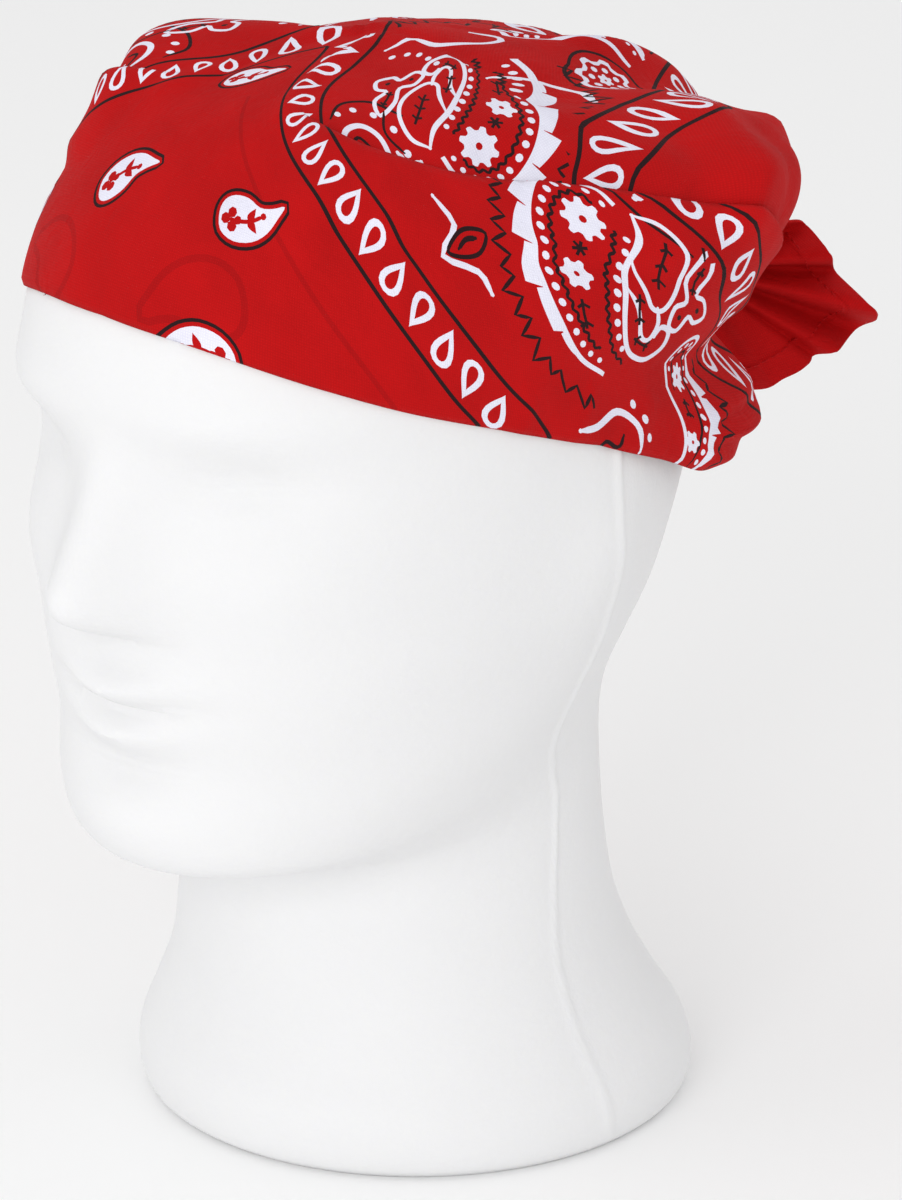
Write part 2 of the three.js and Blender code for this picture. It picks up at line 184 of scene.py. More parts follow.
def levelAt(height, angle):
    height, angle = np.broadcast_arrays(np.asarray(height, float), np.asarray(angle, float))
    low = np.zeros(height.shape)
    high = np.full(height.shape, float(headTop))
    for step in range(34):
        middle = (low + high) / 2
        below = skullPoint(middle, angle)[..., 2] < height
        low = np.where(below, middle, low)
        high = np.where(below, high, middle)
    return (low + high) / 2


wrap = dict(
    clearance=0.6,        # cloth to foam where it hugs
    wall=1.2,             # both layers together, as in the solids
    hemTilt=5.0,          # the far side sits higher
    kink=29.0,            # degrees: the sides start to fold over here
    back=166.0,           # degrees: the sides reach the knot
    gatherFrom=146.0,     # degrees: from here they are drawn together into it
    drawn=0.82,           # how much of the way
    drawnTo=(14.0, 90.0, 204.5),
    asideFrom=62.0,       # degrees: from here back the cloth is measured along the hem
    frontDip=9.0,         # how far the seam between brow and crown dips on the middle line
    tuck=11.0,            # how far the crown runs in under the side's edge
    lift=3.1,             # how far that edge stands over the crown
    thick=0.8,            # what the eye sees at an edge
    hemRoll=2.2,          # how far in the fold at the brow is rounded
    hemDrop=0.9,          # and how far it drops
    lipRoll=3.5,          # the same for the edge that laps over the crown
    lipDrop=1.7,
    pitch=2.3,            # between points of the mesh
    columnStep=1.5, rows=44, columnRows=90,     # of the grid that the flat cloth is measured on
)
# Creases, listed one by one: each runs through places given as angle and height. rise is its height off the
# cloth, below 0 for a trough, and wide its half width, in millimetres. only keeps it to one stretch.
creases = [
    # The small sharp ridge where the left side starts to fold over, and the dips beside it.
    dict(path=[(27, 271), (24, 278.5), (36, 280.4), (58, 281.2), (80, 281.4)], rise=2.4, wide=2.8),
    dict(path=[(31, 275), (42, 277.6), (62, 278.8)], rise=-1.6, wide=4.5),
    dict(path=[(18, 275), (10, 280), (-10, 281.6)], rise=-1.2, wide=5),
    dict(path=[(-14, 275), (-28, 279.5), (-50, 282)], rise=-2.6, wide=8),
    dict(path=[(-27, 270), (-26, 278), (-40, 280.6), (-66, 281.2)], rise=1.9, wide=3.2),
    # Under the left side's upper edge, and the hollow behind it where the cloth bags out.
    dict(path=[(38, 263), (62, 255), (88, 245), (100, 239)], rise=-1.1, wide=6, only="side"),
    dict(path=[(92, 250), (101, 244), (110, 237.5), (120, 228)], rise=-2.4, wide=6.5),
    dict(path=[(107, 239), (112, 245), (116, 252), (122, 260)], rise=-2.8, wide=6),
    dict(path=[(111, 230), (117, 239), (124, 248), (134, 256)], rise=3.0, wide=5),
    dict(path=[(122, 230), (130, 240), (139, 250)], rise=-2.2, wide=5),
    dict(path=[(132, 222), (143, 235), (152, 249)], rise=2.2, wide=5.5),
    # The valley over the lower roll, and the gathers of the roll, which run together at its front.
    dict(path=[(100, 208), (114, 203), (130, 199), (150, 202), (164, 206)], rise=-3.4, wide=7),
    dict(path=[(112, 186.5), (120, 189.5), (130, 190.5), (142, 190)], rise=2.0, wide=2.6),
    dict(path=[(113, 186), (121, 186.4), (131, 186.2), (143, 186)], rise=-1.7, wide=2.0),
    dict(path=[(113, 185.6), (121, 183.6), (131, 182), (143, 181)], rise=1.9, wide=2.3),
    dict(path=[(113, 185), (121, 180.6), (130, 178.2), (141, 177)], rise=-1.6, wide=1.9),
    dict(path=[(112, 184.6), (119, 178.6), (128, 174.6), (138, 172.6)], rise=1.7, wide=2.2),
    # Soft pulls from the knot forward over the ear, and the slight wave of the brow edge.
    dict(path=[(158, 206), (128, 212), (98, 221), (66, 233)], rise=1.3, wide=6),
    dict(path=[(150, 200), (118, 203), (92, 210), (64, 222)], rise=-1.0, wide=5),
    dict(path=[(122, 214), (102, 224), (84, 236), (68, 249)], rise=1.0, wide=5, only="side"),
    dict(path=[(74, 199), (75, 206), (79, 214)], rise=1.1, wide=3.2),
    dict(path=[(84, 194), (86, 202), (90, 210)], rise=0.9, wide=3.4),
    dict(path=[(97, 186), (99, 194), (104, 202)], rise=1.2, wide=3.4),
    dict(path=[(12, 229), (10, 240), (13, 252)], rise=0.5, wide=5),
    dict(path=[(-9, 229), (-12, 243), (-11, 256)], rise=0.45, wide=6),
    dict(path=[(36, 272), (60, 267.5), (86, 258.5), (98, 252), (110, 244), (122, 234)], rise=-1.7, wide=4.5,
         only="crown"),
    dict(path=[(-36, 272), (-60, 267), (-86, 258), (-100, 251), (-120, 236)], rise=-1.5, wide=4.5,
         only="crown"),
    # Where the sides are drawn into the knot.
    dict(path=[(138, 216), (150, 211), (160, 208), (168, 206)], rise=1.8, wide=2.4, only="side"),
    dict(path=[(136, 209), (149, 207.5), (160, 206), (168, 205)], rise=-1.8, wide=2.2, only="side"),
    dict(path=[(138, 202), (150, 203.5), (160, 204), (168, 204)], rise=1.7, wide=2.4, only="side"),
    dict(path=[(-138, 215), (-150, 210), (-160, 207), (-168, 206)], rise=1.6, wide=2.6, only="side"),
    dict(path=[(-136, 207), (-150, 205.5), (-160, 205), (-168, 204)], rise=-1.8, wide=2.2, only="side"),
    dict(path=[(-140, 199), (-152, 202), (-162, 203.5), (-168, 204)], rise=1.5, wide=2.4, only="side"),
    # Over the crown, drawn in towards the knot.
    dict(path=[(64, 268), (88, 267), (112, 264), (134, 259)], rise=1.5, wide=5.5),
    dict(path=[(84, 275), (108, 273), (132, 268), (150, 258)], rise=-2.0, wide=7),
    dict(path=[(104, 264), (124, 256), (142, 244), (156, 230)], rise=3.2, wide=5.5),
    dict(path=[(120, 270), (140, 262), (156, 248), (166, 232)], rise=-3.4, wide=5.5),
    dict(path=[(140, 276), (156, 266), (167, 248), (174, 226)], rise=3.6, wide=5),
    dict(path=[(160, 276), (170, 260), (176, 240), (178, 220)], rise=-3.2, wide=4.5),
    dict(path=[(184, 277), (184, 260), (182, 240), (181, 220)], rise=3.0, wide=4.2),
    dict(path=[(200, 276), (192, 260), (187, 242), (183, 222)], rise=-3.2, wide=4.5),
    dict(path=[(216, 276), (204, 262), (195, 246), (188, 226)], rise=3.4, wide=5),
    dict(path=[(232, 270), (216, 260), (204, 246), (196, 230)], rise=-3.0, wide=6),
    dict(path=[(60, 281), (100, 281), (150, 279)], rise=0.9, wide=7),
    dict(path=[(-70, 281), (-110, 280.6), (-150, 278)], rise=-1.2, wide=8),
    # The far side, alike but not the same.
    dict(path=[(-36, 266), (-60, 259), (-86, 249), (-100, 242)], rise=-1.0, wide=6, only="side"),
    dict(path=[(-94, 252), (-104, 244), (-116, 234)], rise=-2.0, wide=6),
    dict(path=[(-106, 236), (-114, 244), (-124, 253), (-136, 258)], rise=2.6, wide=5.5),
    dict(path=[(-120, 228), (-130, 240), (-138, 252)], rise=-2.0, wide=5),
    dict(path=[(-98, 210), (-114, 204), (-132, 200), (-152, 203)], rise=-3.0, wide=7),
    dict(path=[(-112, 187), (-122, 189.5), (-134, 190)], rise=1.8, wide=2.8),
    dict(path=[(-113, 186), (-122, 185.6), (-135, 185)], rise=-1.5, wide=2.2),
    dict(path=[(-112, 184.6), (-121, 181.4), (-134, 179)], rise=1.7, wide=2.6),
    dict(path=[(-110, 183), (-118, 177.6), (-128, 174)], rise=-1.2, wide=2.2),
    dict(path=[(-158, 206), (-130, 211), (-100, 219), (-70, 230)], rise=1.2, wide=6),
    dict(path=[(-124, 216), (-100, 226), (-80, 239)], rise=-0.9, wide=5),
    dict(path=[(-72, 208), (-74, 216), (-77, 224)], rise=0.8, wide=3.6),
    dict(path=[(-90, 202), (-93, 210), (-97, 218)], rise=1.0, wide=3.8),
    dict(path=[(-70, 267), (-96, 266), (-122, 260)], rise=1.6, wide=6),
    dict(path=[(-92, 276), (-120, 272), (-146, 262)], rise=-1.8, wide=7),
]
hemLine = dict(angle=[0, 22, 45, 67, 90, 105, 120, 135, 150, 168, 180],
               z=[231, 228.5, 220.5, 209.5, 197.5, 188, 178.5, 177.5, 186, 197, 198])
lipLine = dict(angle=[15, 29, 59, 86, 98, 110, 122, 135, 150, 168, 180],
               z=[279, 274, 265, 255.5, 249, 241, 231, 221, 215, 213, 213])
# Where the cloth stands off the head in a bag.
fullness = dict(
    angle=[130, -130, 180, 160, 150, 138, -138, -64],
    z=[238, 238, 241, 264, 284, 183, 183, 271],
    out=[30, 26, 10, 2.5, 3, 15, 12, 11],
    round=[36, 36, 24, 60, 70, 26, 26, 30],
    tall=[19, 19, 20, 11, 9, 15, 15, 9],
)
# The largest folds, from one angle and height to another.
foldLines = dict(
    fromAngle=[40, 84, 100, 96, -84, -104, -92, 150],
    fromZ=[264, 262, 276, 216, 260, 274, 214, 274],
    toAngle=[128, 140, 146, 150, -140, -148, -150, 172],
    toZ=[226, 234, 240, 206, 236, 246, 206, 230],
    rise=[-2, 2.6, -2.4, 2.2, 2.4, -2.2, 2, 2.2],
    wide=[9, 10, 9, 9, 10, 10, 9, 10],
)


def lineAt(line, angle):
    place = np.interp(np.abs(turnBetween(angle, 0)), line["angle"], np.arange(len(line["angle"])))
    return smoothColumn(line["z"], place)


def hemAt(angle):
    return lineAt(hemLine, angle) - wrap["hemTilt"] * np.sin(np.radians(angle))


def tuckDepth(angle):
    return wrap["tuck"] * smoothStep(np.abs(turnBetween(angle, 0)), wrap["kink"], wrap["kink"] + 22)


def standOff(angle, z):
    least = wrap["clearance"] + wrap["wall"]
    off = np.full(np.shape(z), least)
    for at, height, out, spread, tall in zip(*fullness.values()):
        off = off + out * bell(turnBetween(angle, at), spread) * bell(z - height, tall)
    for fromAngle, fromZ, toAngle, toZ, rise, wide in zip(*foldLines.values()):
        along = (angle - fromAngle) / (toAngle - fromAngle)
        inside = (along > 0) & (along < 1)
        along = np.clip(along, 0, 1)
        middle = fromZ + (toZ - fromZ) * along
        off = off + np.where(inside, rise * np.sin(np.pi * along) ** 0.6 * bell(z - middle, wide), 0)
    return np.maximum(off, least)


def smoothCurve(points, closed=False, steps=6):
    points = np.asarray(points, float)
    if closed:
        points = np.concatenate([points[-1:], points, points[:2]])
    else:
        points = np.concatenate([[2 * points[0] - points[1]], points, [2 * points[-1] - points[-2]]])
    out = []
    for a, b, c, d in zip(points[:-3], points[1:-2], points[2:-1], points[3:]):
        for k in range(steps):
            f = k / steps
            out.append(smoothBetween(a, b, c, d, f))
    if not closed:
        out.append(points[-2])
    return np.array(out)


def creaseLift(points, part):
    lift = np.zeros(len(points))
    for crease in creases:
        if crease.get("only", part) != part:
            continue
        path = smoothCurve(crease["path"], False, 5)
        line = headPoint(levelAt(path[:, 1], path[:, 0]), path[:, 0])
        reach = crease["wide"] * 2.6
        inBox = (points > line.min(axis=0) - reach) & (points < line.max(axis=0) + reach)
        near = np.where(np.all(inBox, axis=1))[0]
        if not len(near):
            continue
        some = points[near]
        best = np.full(len(near), 1e9)
        along = np.zeros(len(near))
        for i in range(len(line) - 1):
            run = line[i + 1] - line[i]
            t = np.clip((some - line[i]) @ run / max(run @ run, 1e-9), 0, 1)
            away = np.linalg.norm(some - line[i] - t[:, None] * run, axis=1)
            closer = away < best
            best = np.where(closer, away, best)
            along = np.where(closer, (i + t) / (len(line) - 1), along)
        height = crease["rise"] * np.sin(math.pi * np.clip(along, 0.02, 0.98)) ** 0.7
        lift[near] += height * np.exp(-(best / crease["wide"]) ** 1.7)
    return lift


# part is "crown", "side", or None for the bare form that the flat cloth is measured on.
# fromHem and fromEdge are lengths along the cloth to its lower and upper edge.
def clothPoint(level, angle, part, fromHem=99.0, fromEdge=99.0):
    p = headPoint(level, angle)
    z = p[..., 2]
    off = standOff(angle, z)
    if part:
        least = wrap["clearance"] + wrap["wall"]
        slow = 0.3 * np.sin(p[:, 0] * 0.11 + 1.7 * np.sin(z * 0.07)) * np.sin(p[:, 1] * 0.09 + z * 0.13)
        off = np.maximum(off + creaseLift(p, part) + slow * smoothStep(off, 1.8, 6), least)
    if part == "side":
        tucked = lineAt(lipLine, angle) - wrap["tuck"]
        kinked = smoothStep(np.abs(turnBetween(angle, 0)), wrap["kink"], wrap["kink"] + 16)
        off = off + wrap["lift"] * kinked * smoothStep(z, tucked - 7, tucked - 1)
        off = off - wrap["lipDrop"] * kinked * np.clip(1 - fromEdge / wrap["lipRoll"], 0, 1) ** 2
        off = off - wrap["hemDrop"] * np.clip(1 - fromHem / wrap["hemRoll"], 0, 1) ** 2
    onHead = p + skullNormal(level, angle) * off[..., None]
    if part != "side":
        return onHead
    drawn = wrap["drawn"] * smoothStep(np.abs(angle), wrap["gatherFrom"], wrap["back"] + 1)[..., None]
    x, y, z = wrap["drawnTo"]
    towards = np.stack([x * np.sign(angle), y + 0 * angle, z + 0 * angle], -1)
    return onHead + (towards - onHead) * drawn


# The square's middle is 0, 0. u runs along the fold, v up from it, both in millimetres. field and
# outerBand are how far out the two bands of drops start, and band is how wide they are.
square = dict(field=72.0, band=16.0, outerBand=164.0)
# Up to alongHem from its edge the cloth is measured along the hem, and past overTop over the head's top.
flatMeasure = dict(alongHem=40.0, overTop=95.0, lossWide=45.0)
# What the crown's print is shifted by, where cloth is lost in the fold over each side.
hiddenCloth = dict(angle=[0, 15, 29, 48, 75, 103, 120, 137, 160, 180],
                   by=[0, 10, 20, 24, 34, 42, 26, 6, 0, 0])


def hemLengths():
    angles = np.arange(-180, 180.01, 0.5)
    run = runAlong(clothPoint(levelAt(hemAt(angles), angles), angles, None))
    return angles, run - np.interp(0, angles, run)


hemAngles, hemRun = hemLengths()


# One column of the grid: levels from the hem to the top at one angle, with the length up the cloth.
def clothColumn(angle):
    levels = np.linspace(float(levelAt(hemAt(angle), angle)), headTop, wrap["columnRows"])
    return levels, runAlong(clothPoint(levels, np.full(len(levels), float(angle)), None))


frontRise = clothColumn(0.0)[1][-1]


# Where a place on the head lies in the flat cloth. length is up from the hem, toTop on to the top.
def flatPlace(angle, length, toTop, part):
    m, side = flatMeasure, abs(angle)
    along = (np.interp(angle, hemAngles, hemRun), length)
    x = math.sin(math.radians(angle)) * toTop
    y = -math.cos(math.radians(angle)) * toTop
    lost = np.interp(side, hiddenCloth["angle"], hiddenCloth["by"]) * smoothStep(toTop, 0, m["lossWide"]) / 2
    over = (x + math.copysign(lost, angle) if angle else x, frontRise + y + lost)
    high = smoothStep(length, m["alongHem"], m["overTop"])
    aside = smoothStep(side, wrap["kink"], wrap["asideFrom"])
    share = high * (1 - aside) if part == "side" else 1 - (1 - high) * (1 - aside)
    return along[0] + (over[0] - along[0]) * share, along[1] + (over[1] - along[1]) * share


# A grid of one stretch: each point's place in the flat cloth, and what it is on the head.
# That is held as level from the top and angle, turned to x and y so that the top is one point,
# and the lengths to the two edges.
def stretchGrid(part):
    kink, back = wrap["kink"], wrap["back"]
    even = np.arange(-180, 180.01, wrap["columnStep"])
    angles = np.unique(np.concatenate([even, [-back, -kink, kink, back]]))
    if part == "side":
        angles = angles[np.abs(angles) <= back]
    rows = wrap["rows"]
    flat, held = [], []
    for angle in angles:
        levels, lengths = clothColumn(angle)
        side = abs(angle)
        dip = wrap["frontDip"] * (1 - side / kink)
        edgeZ = lineAt(lipLine, angle) if side >= kink else lineAt(lipLine, kink) - dip
        edge = float(levelAt(edgeZ, angle))
        low, high = levels[0], edge
        if part == "crown":
            low, high = float(levelAt(skullPoint(edge, angle)[2] - tuckDepth(angle), angle)), headTop
        at = np.linspace(low, high, rows)
        run = np.interp(at, levels, lengths)
        turn = math.radians(angle)
        for level, length in zip(at, run):
            flat.append(flatPlace(float(angle), float(length), float(lengths[-1] - length), part))
            held.append(((headTop - level) * math.sin(turn), (headTop - level) * math.cos(turn),
                         length, run[-1] - length))
    return np.array(flat).reshape(len(angles), rows, 2), np.array(held).reshape(len(angles), rows, 4)


def insideOf(points, polygon):
    x, y = points[:, 0][:, None], points[:, 1][:, None]
    a, b = polygon, np.roll(polygon, -1, axis=0)
    cross = (a[:, 1] > y) != (b[:, 1] > y)
    with np.errstate(divide="ignore", invalid="ignore"):
        at = (b[:, 0] - a[:, 0]) * (y - a[:, 1]) / (b[:, 1] - a[:, 1]) + a[:, 0]
    return (np.sum(cross & (x < at), axis=1) % 2).astype(bool)


def signedArea(polygon):
    x, y = polygon[:, 0], polygon[:, 1]
    return 0.5 * np.sum(x * np.roll(y, -1) - np.roll(x, -1) * y)


# Cuts a piece of the flat cloth along every printed shape. Returns points, triangles and each one's ink.
# The rest of the cloth is filled with a lattice of even triangles, kept a little clear of the print.
def cutCloth(outline, shapes, pitch, rowShare=0.866, clear=1.1):
    low, high = outline.min(axis=0) - pitch, outline.max(axis=0) + pitch
    lattice = []
    for j, y in enumerate(np.arange(low[1], high[1], pitch * rowShare)):
        x = np.arange(low[0] + (j % 2) * pitch / 2, high[0], pitch)
        lattice.append(np.stack([x, np.full(len(x), y)], -1))
    lattice = np.concatenate(lattice)
    lattice = lattice[insideOf(lattice, outline)]
    points = [tuple(p) for p in outline]
    faces = [list(range(len(points)))]
    inks = [0]
    for ink, polygon in shapes:
        if np.any(polygon.max(axis=0) < low) or np.any(polygon.min(axis=0) > high):
            continue
        if not insideOf(polygon, outline).any():
            continue
        if signedArea(polygon) < 0:
            polygon = polygon[::-1]
        faces.append(list(range(len(points), len(points) + len(polygon))))
        points += [tuple(p) for p in polygon]
        inks.append(ink)
    taken = {(int(p[0] // clear), int(p[1] // clear)) for p in np.array(points)}
    points += [tuple(p) for p in lattice if (int(p[0] // clear), int(p[1] // clear)) not in taken]
    flat, _, cut, _, _, owners = delaunay_2d_cdt([Vector(p) for p in points], [], faces, 1, 1e-4, True)
    triangles, triangleInks = [], []
    for corners, within in zip(cut, owners):
        if 0 in within:
            triangles.append(list(corners))
            triangleInks.append(inks[max(within)])
    return np.array([tuple(p) for p in flat]), triangles, triangleInks


# Looks up what the grid holds at points of the flat cloth.
def lookUp(points, gridFlat, gridHeld):
    columns, rows = gridFlat.shape[:2]
    flat = gridFlat.reshape(-1, 2)
    held = gridHeld.reshape(columns * rows, -1)
    corners = []
    for i in range(columns - 1):
        for j in range(rows - 1):
            a = i * rows + j
            corners += [(a, a + rows, a + rows + 1), (a, a + rows + 1, a + 1)]
    tree = BVHTree.FromPolygons([(p[0], p[1], 0.0) for p in flat], corners)
    out = np.zeros((len(points), held.shape[1]))
    for i, p in enumerate(points):
        place, _, index, _ = tree.find_nearest((p[0], p[1], 0.0))
        a, b, c = corners[index]
        toB, toC, toPlace = flat[b] - flat[a], flat[c] - flat[a], np.array([place[0], place[1]]) - flat[a]
        area = toB[0] * toC[1] - toC[0] * toB[1]
        if abs(area) < 1e-9:
            out[i] = held[a]
            continue
        s = (toPlace[0] * toC[1] - toC[0] * toPlace[1]) / area
        t = (toB[0] * toPlace[1] - toPlace[0] * toB[1]) / area
        out[i] = held[a] * (1 - s - t) + held[b] * s + held[c] * t
    return out


def wrapPoints(part, shapes):
    gridFlat, gridHeld = stretchGrid(part)
    if part == "side":
        outline = np.concatenate([gridFlat[:, 0], gridFlat[-1, 1:], gridFlat[-2::-1, -1],
                                  gridFlat[0, -2:0:-1]])
    else:
        outline = gridFlat[:-1, 0]
    if signedArea(outline) < 0:
        outline = outline[::-1]
    flat, triangles, inks = cutCloth(outline, shapes, wrap["pitch"])
    held = lookUp(flat, gridFlat, gridHeld)
    level = headTop - np.hypot(held[:, 0], held[:, 1])
    angle = np.degrees(np.arctan2(held[:, 0], held[:, 1]))
    place = clothPoint(level, angle, part, held[:, 2], held[:, 3])
    print(part, "cloth:", len(triangles), "triangles,", np.count_nonzero(inks), "of them printed")
    return flat, place * mm, triangles, inks


def meshPiece(name, points, faces, materials, flat=None, inks=None):
    mesh = bpy.data.meshes.new(name)
    mesh.from_pydata([tuple(p) for p in points], [], faces)
    for material in materials:
        mesh.materials.append(material)
    if inks is not None:
        mesh.polygons.foreach_set("material_index", inks)
    if flat is not None:
        layer = mesh.uv_layers.new(name="cloth")
        corner = np.zeros(len(mesh.loops), dtype=np.int32)
        mesh.loops.foreach_get("vertex_index", corner)
        layer.data.foreach_set("uv", (np.asarray(flat)[corner] / 100).ravel())
    mesh.polygons.foreach_set("use_smooth", [True] * len(mesh.polygons))
    mesh.update()
    piece = bpy.data.objects.new(name, mesh)
    bpy.context.collection.objects.link(piece)
    return piece


def pointsOf(piece):
    places = np.zeros(len(piece.data.vertices) * 3)
    piece.data.vertices.foreach_get("co", places)
    return places.reshape(-1, 3)


def giveWall(piece, thick):
    bpy.ops.object.select_all(action="DESELECT")
    piece.select_set(True)
    bpy.context.view_layer.objects.active = piece
    wall = piece.modifiers.new("wall", "SOLIDIFY")
    wall.thickness = thick * mm
    wall.offset = -1
    wall.use_even_offset = False
    bpy.ops.object.modifier_apply(modifier="wall")


# Adds a node with its settings and inputs. An input is a value, or another node's socket to join to it.
def addNode(tree, kind, inputs, **settings):
    node = tree.nodes.new("ShaderNode" + kind)
    for name, value in settings.items():
        setattr(node, name, value)
    setInputs(tree, node, inputs)
    return node


def setInputs(tree, node, inputs):
    for name, value in inputs.items():
        if isinstance(value, bpy.types.NodeSocket):
            tree.links.new(value, node.inputs[name])
        else:
            node.inputs[name].default_value = value


# The weave, in the cloth's own flat measure: one thread over the next, slow changes of tone, and
# rumples too small to model.
def weaveGroup():
    tree = bpy.data.node_groups.new("cotton weave", "ShaderNodeTree")
    tree.interface.new_socket("Bump", in_out="INPUT", socket_type="NodeSocketFloat").default_value = 0.2
    tree.interface.new_socket("Tone", in_out="OUTPUT", socket_type="NodeSocketFloat")
    tree.interface.new_socket("Thread", in_out="OUTPUT", socket_type="NodeSocketFloat")
    tree.interface.new_socket("Normal", in_out="OUTPUT", socket_type="NodeSocketVector")
    given, out = tree.nodes.new("NodeGroupInput"), tree.nodes.new("NodeGroupOutput")
    uv = addNode(tree, "UVMap", {}, uv_map="cloth").outputs["UV"]
    waves = {"Vector": uv, "Scale": 48.0, "Distortion": 1.2, "Detail": 2.0, "Detail Scale": 0.35}
    over, under = (addNode(tree, "TexWave", waves, wave_type="BANDS", bands_direction=direction).outputs["Fac"]
                   for direction in ("X", "Y"))
    mix = addNode(tree, "Math", {0: over, 1: under}, operation="MULTIPLY")
    slow = addNode(tree, "TexNoise", {"Vector": uv, "Scale": 4.5, "Detail": 5.0})
    fine = addNode(tree, "TexNoise", {"Vector": uv, "Scale": 130.0, "Detail": 3.0})
    thread = addNode(tree, "Math", {0: fine.outputs["Fac"], 1: 0.5, 2: mix.outputs[0]},
                     operation="MULTIPLY_ADD")
    rumple = addNode(tree, "TexNoise", {"Vector": uv, "Scale": 9.0, "Detail": 4.0, "Roughness": 0.62,
                                        "Distortion": 0.9})
    rumpled = addNode(tree, "Bump", {"Distance": 0.0016, "Strength": 0.5, "Height": rumple.outputs["Fac"]})
    bump = addNode(tree, "Bump", {"Distance": 0.00025, "Strength": given.outputs["Bump"],
                                  "Height": thread.outputs[0], "Normal": rumpled.outputs["Normal"]})
    setInputs(tree, out, {"Tone": slow.outputs["Fac"], "Thread": thread.outputs[0],
                          "Normal": bump.outputs["Normal"]})
    return tree


weave = weaveGroup()


def newMaterial(name):
    material = bpy.data.materials.new(name)
    material.use_nodes = True
    return material, material.node_tree, material.node_tree.nodes["Principled BSDF"]


def cotton(name, dark, light, roughness, sheen, bump):
    material, tree, shader = newMaterial(name)
    cloth = addNode(tree, "Group", {"Bump": bump}, node_tree=weave)
    tone = addNode(tree, "MapRange", {"Value": cloth.outputs["Tone"], "From Min": 0.3, "From Max": 0.7,
                                      "To Min": 0.25, "To Max": 0.6})
    thread = addNode(tree, "Math", {0: cloth.outputs["Thread"], 1: 0.4, 2: tone.outputs["Result"]},
                     operation="MULTIPLY_ADD")
    colour = addNode(tree, "Mix", {"A": (*dark, 1), "B": (*light, 1), "Factor": thread.outputs[0]},
                     data_type="RGBA")
    setInputs(tree, shader, {
        "Roughness": roughness, "Specular IOR Level": 0.15,
        "Sheen Weight": sheen, "Sheen Roughness": 0.45, "Sheen Tint": (*light, 1),
        "Base Color": colour.outputs["Result"], "Normal": cloth.outputs["Normal"]})
    return material


clothRed = cotton("red cotton", (0.32, 0.0015, 0.002), (0.55, 0.003, 0.004), 0.85, 0.05, 0.3)
inkWhite = cotton("white ink on cotton", (0.62, 0.60, 0.74), (0.88, 0.88, 0.98), 0.8, 0.1, 0.3)
inkBlack = cotton("black ink on cotton", (0.010, 0.004, 0.005), (0.028, 0.008, 0.010), 0.8, 0.1, 0.3)
threadRed = cotton("red thread", (0.30, 0.002, 0.003), (0.60, 0.006, 0.008), 0.7, 0.05, 0.2)
redOverPrint = cotton("red cotton over print", (0.27, 0.0013, 0.002), (0.46, 0.0027, 0.0038), 0.85, 0.05, 0.3)
clothMaterials = [clothRed, inkWhite, inkBlack, redOverPrint]


# Expanded bead foam: soft cells that show as faint rings of shade, and a grainy skin.
def foamMaterial():
    material, tree, shader = newMaterial("bead foam")
    place = addNode(tree, "TexCoord", {}).outputs["Object"]
    cells = addNode(tree, "TexVoronoi", {"Vector": place, "Scale": 330.0, "Smoothness": 0.35},
                    feature="SMOOTH_F1")
    grain = addNode(tree, "TexNoise", {"Vector": place, "Scale": 900.0, "Detail": 3.0})
    skin = addNode(tree, "Math", {0: cells.outputs["Distance"], 1: -0.8, 2: grain.outputs["Fac"]},
                   operation="MULTIPLY_ADD")
    bump = addNode(tree, "Bump", {"Strength": 0.22, "Distance": 0.0004, "Height": skin.outputs[0]})
    slow = addNode(tree, "TexNoise", {"Vector": place, "Scale": 14.0, "Detail": 4.0})
    tone = addNode(tree, "Mix", {"A": (0.78, 0.78, 0.786, 1), "B": (0.84, 0.84, 0.846, 1),
                                 "Factor": slow.outputs["Fac"]}, data_type="RGBA")
    setInputs(tree, shader, {
        "Roughness": 0.62, "Subsurface Weight": 0.25, "Subsurface Radius": (0.004, 0.004, 0.0045),
        "Subsurface Scale": 1.0, "Specular IOR Level": 0.35, "Base Color": tone.outputs["Result"],
        "Normal": bump.outputs["Normal"]})
    return material


headBuild = dict(
    around=256, rings=220,
    baseRings=8,                            # of them, under the foot
    footY=2,
    lineAngle=95, lineWide=45, drawIn=9.3,  # points are drawn closer together at the mould's line
)
# The line left where the two halves of the mould met, on each side of the head.
mouldLine = dict(
    z=[0, 30, 48, 66, 84, 103, 122, 137, 151, 169, 184, 282],
    angle=[85, 84, 86, 89.5, 93, 99, 100, 100, 99, 96, 95.5, 95],
    rise=0.75, wide=1.1,
)


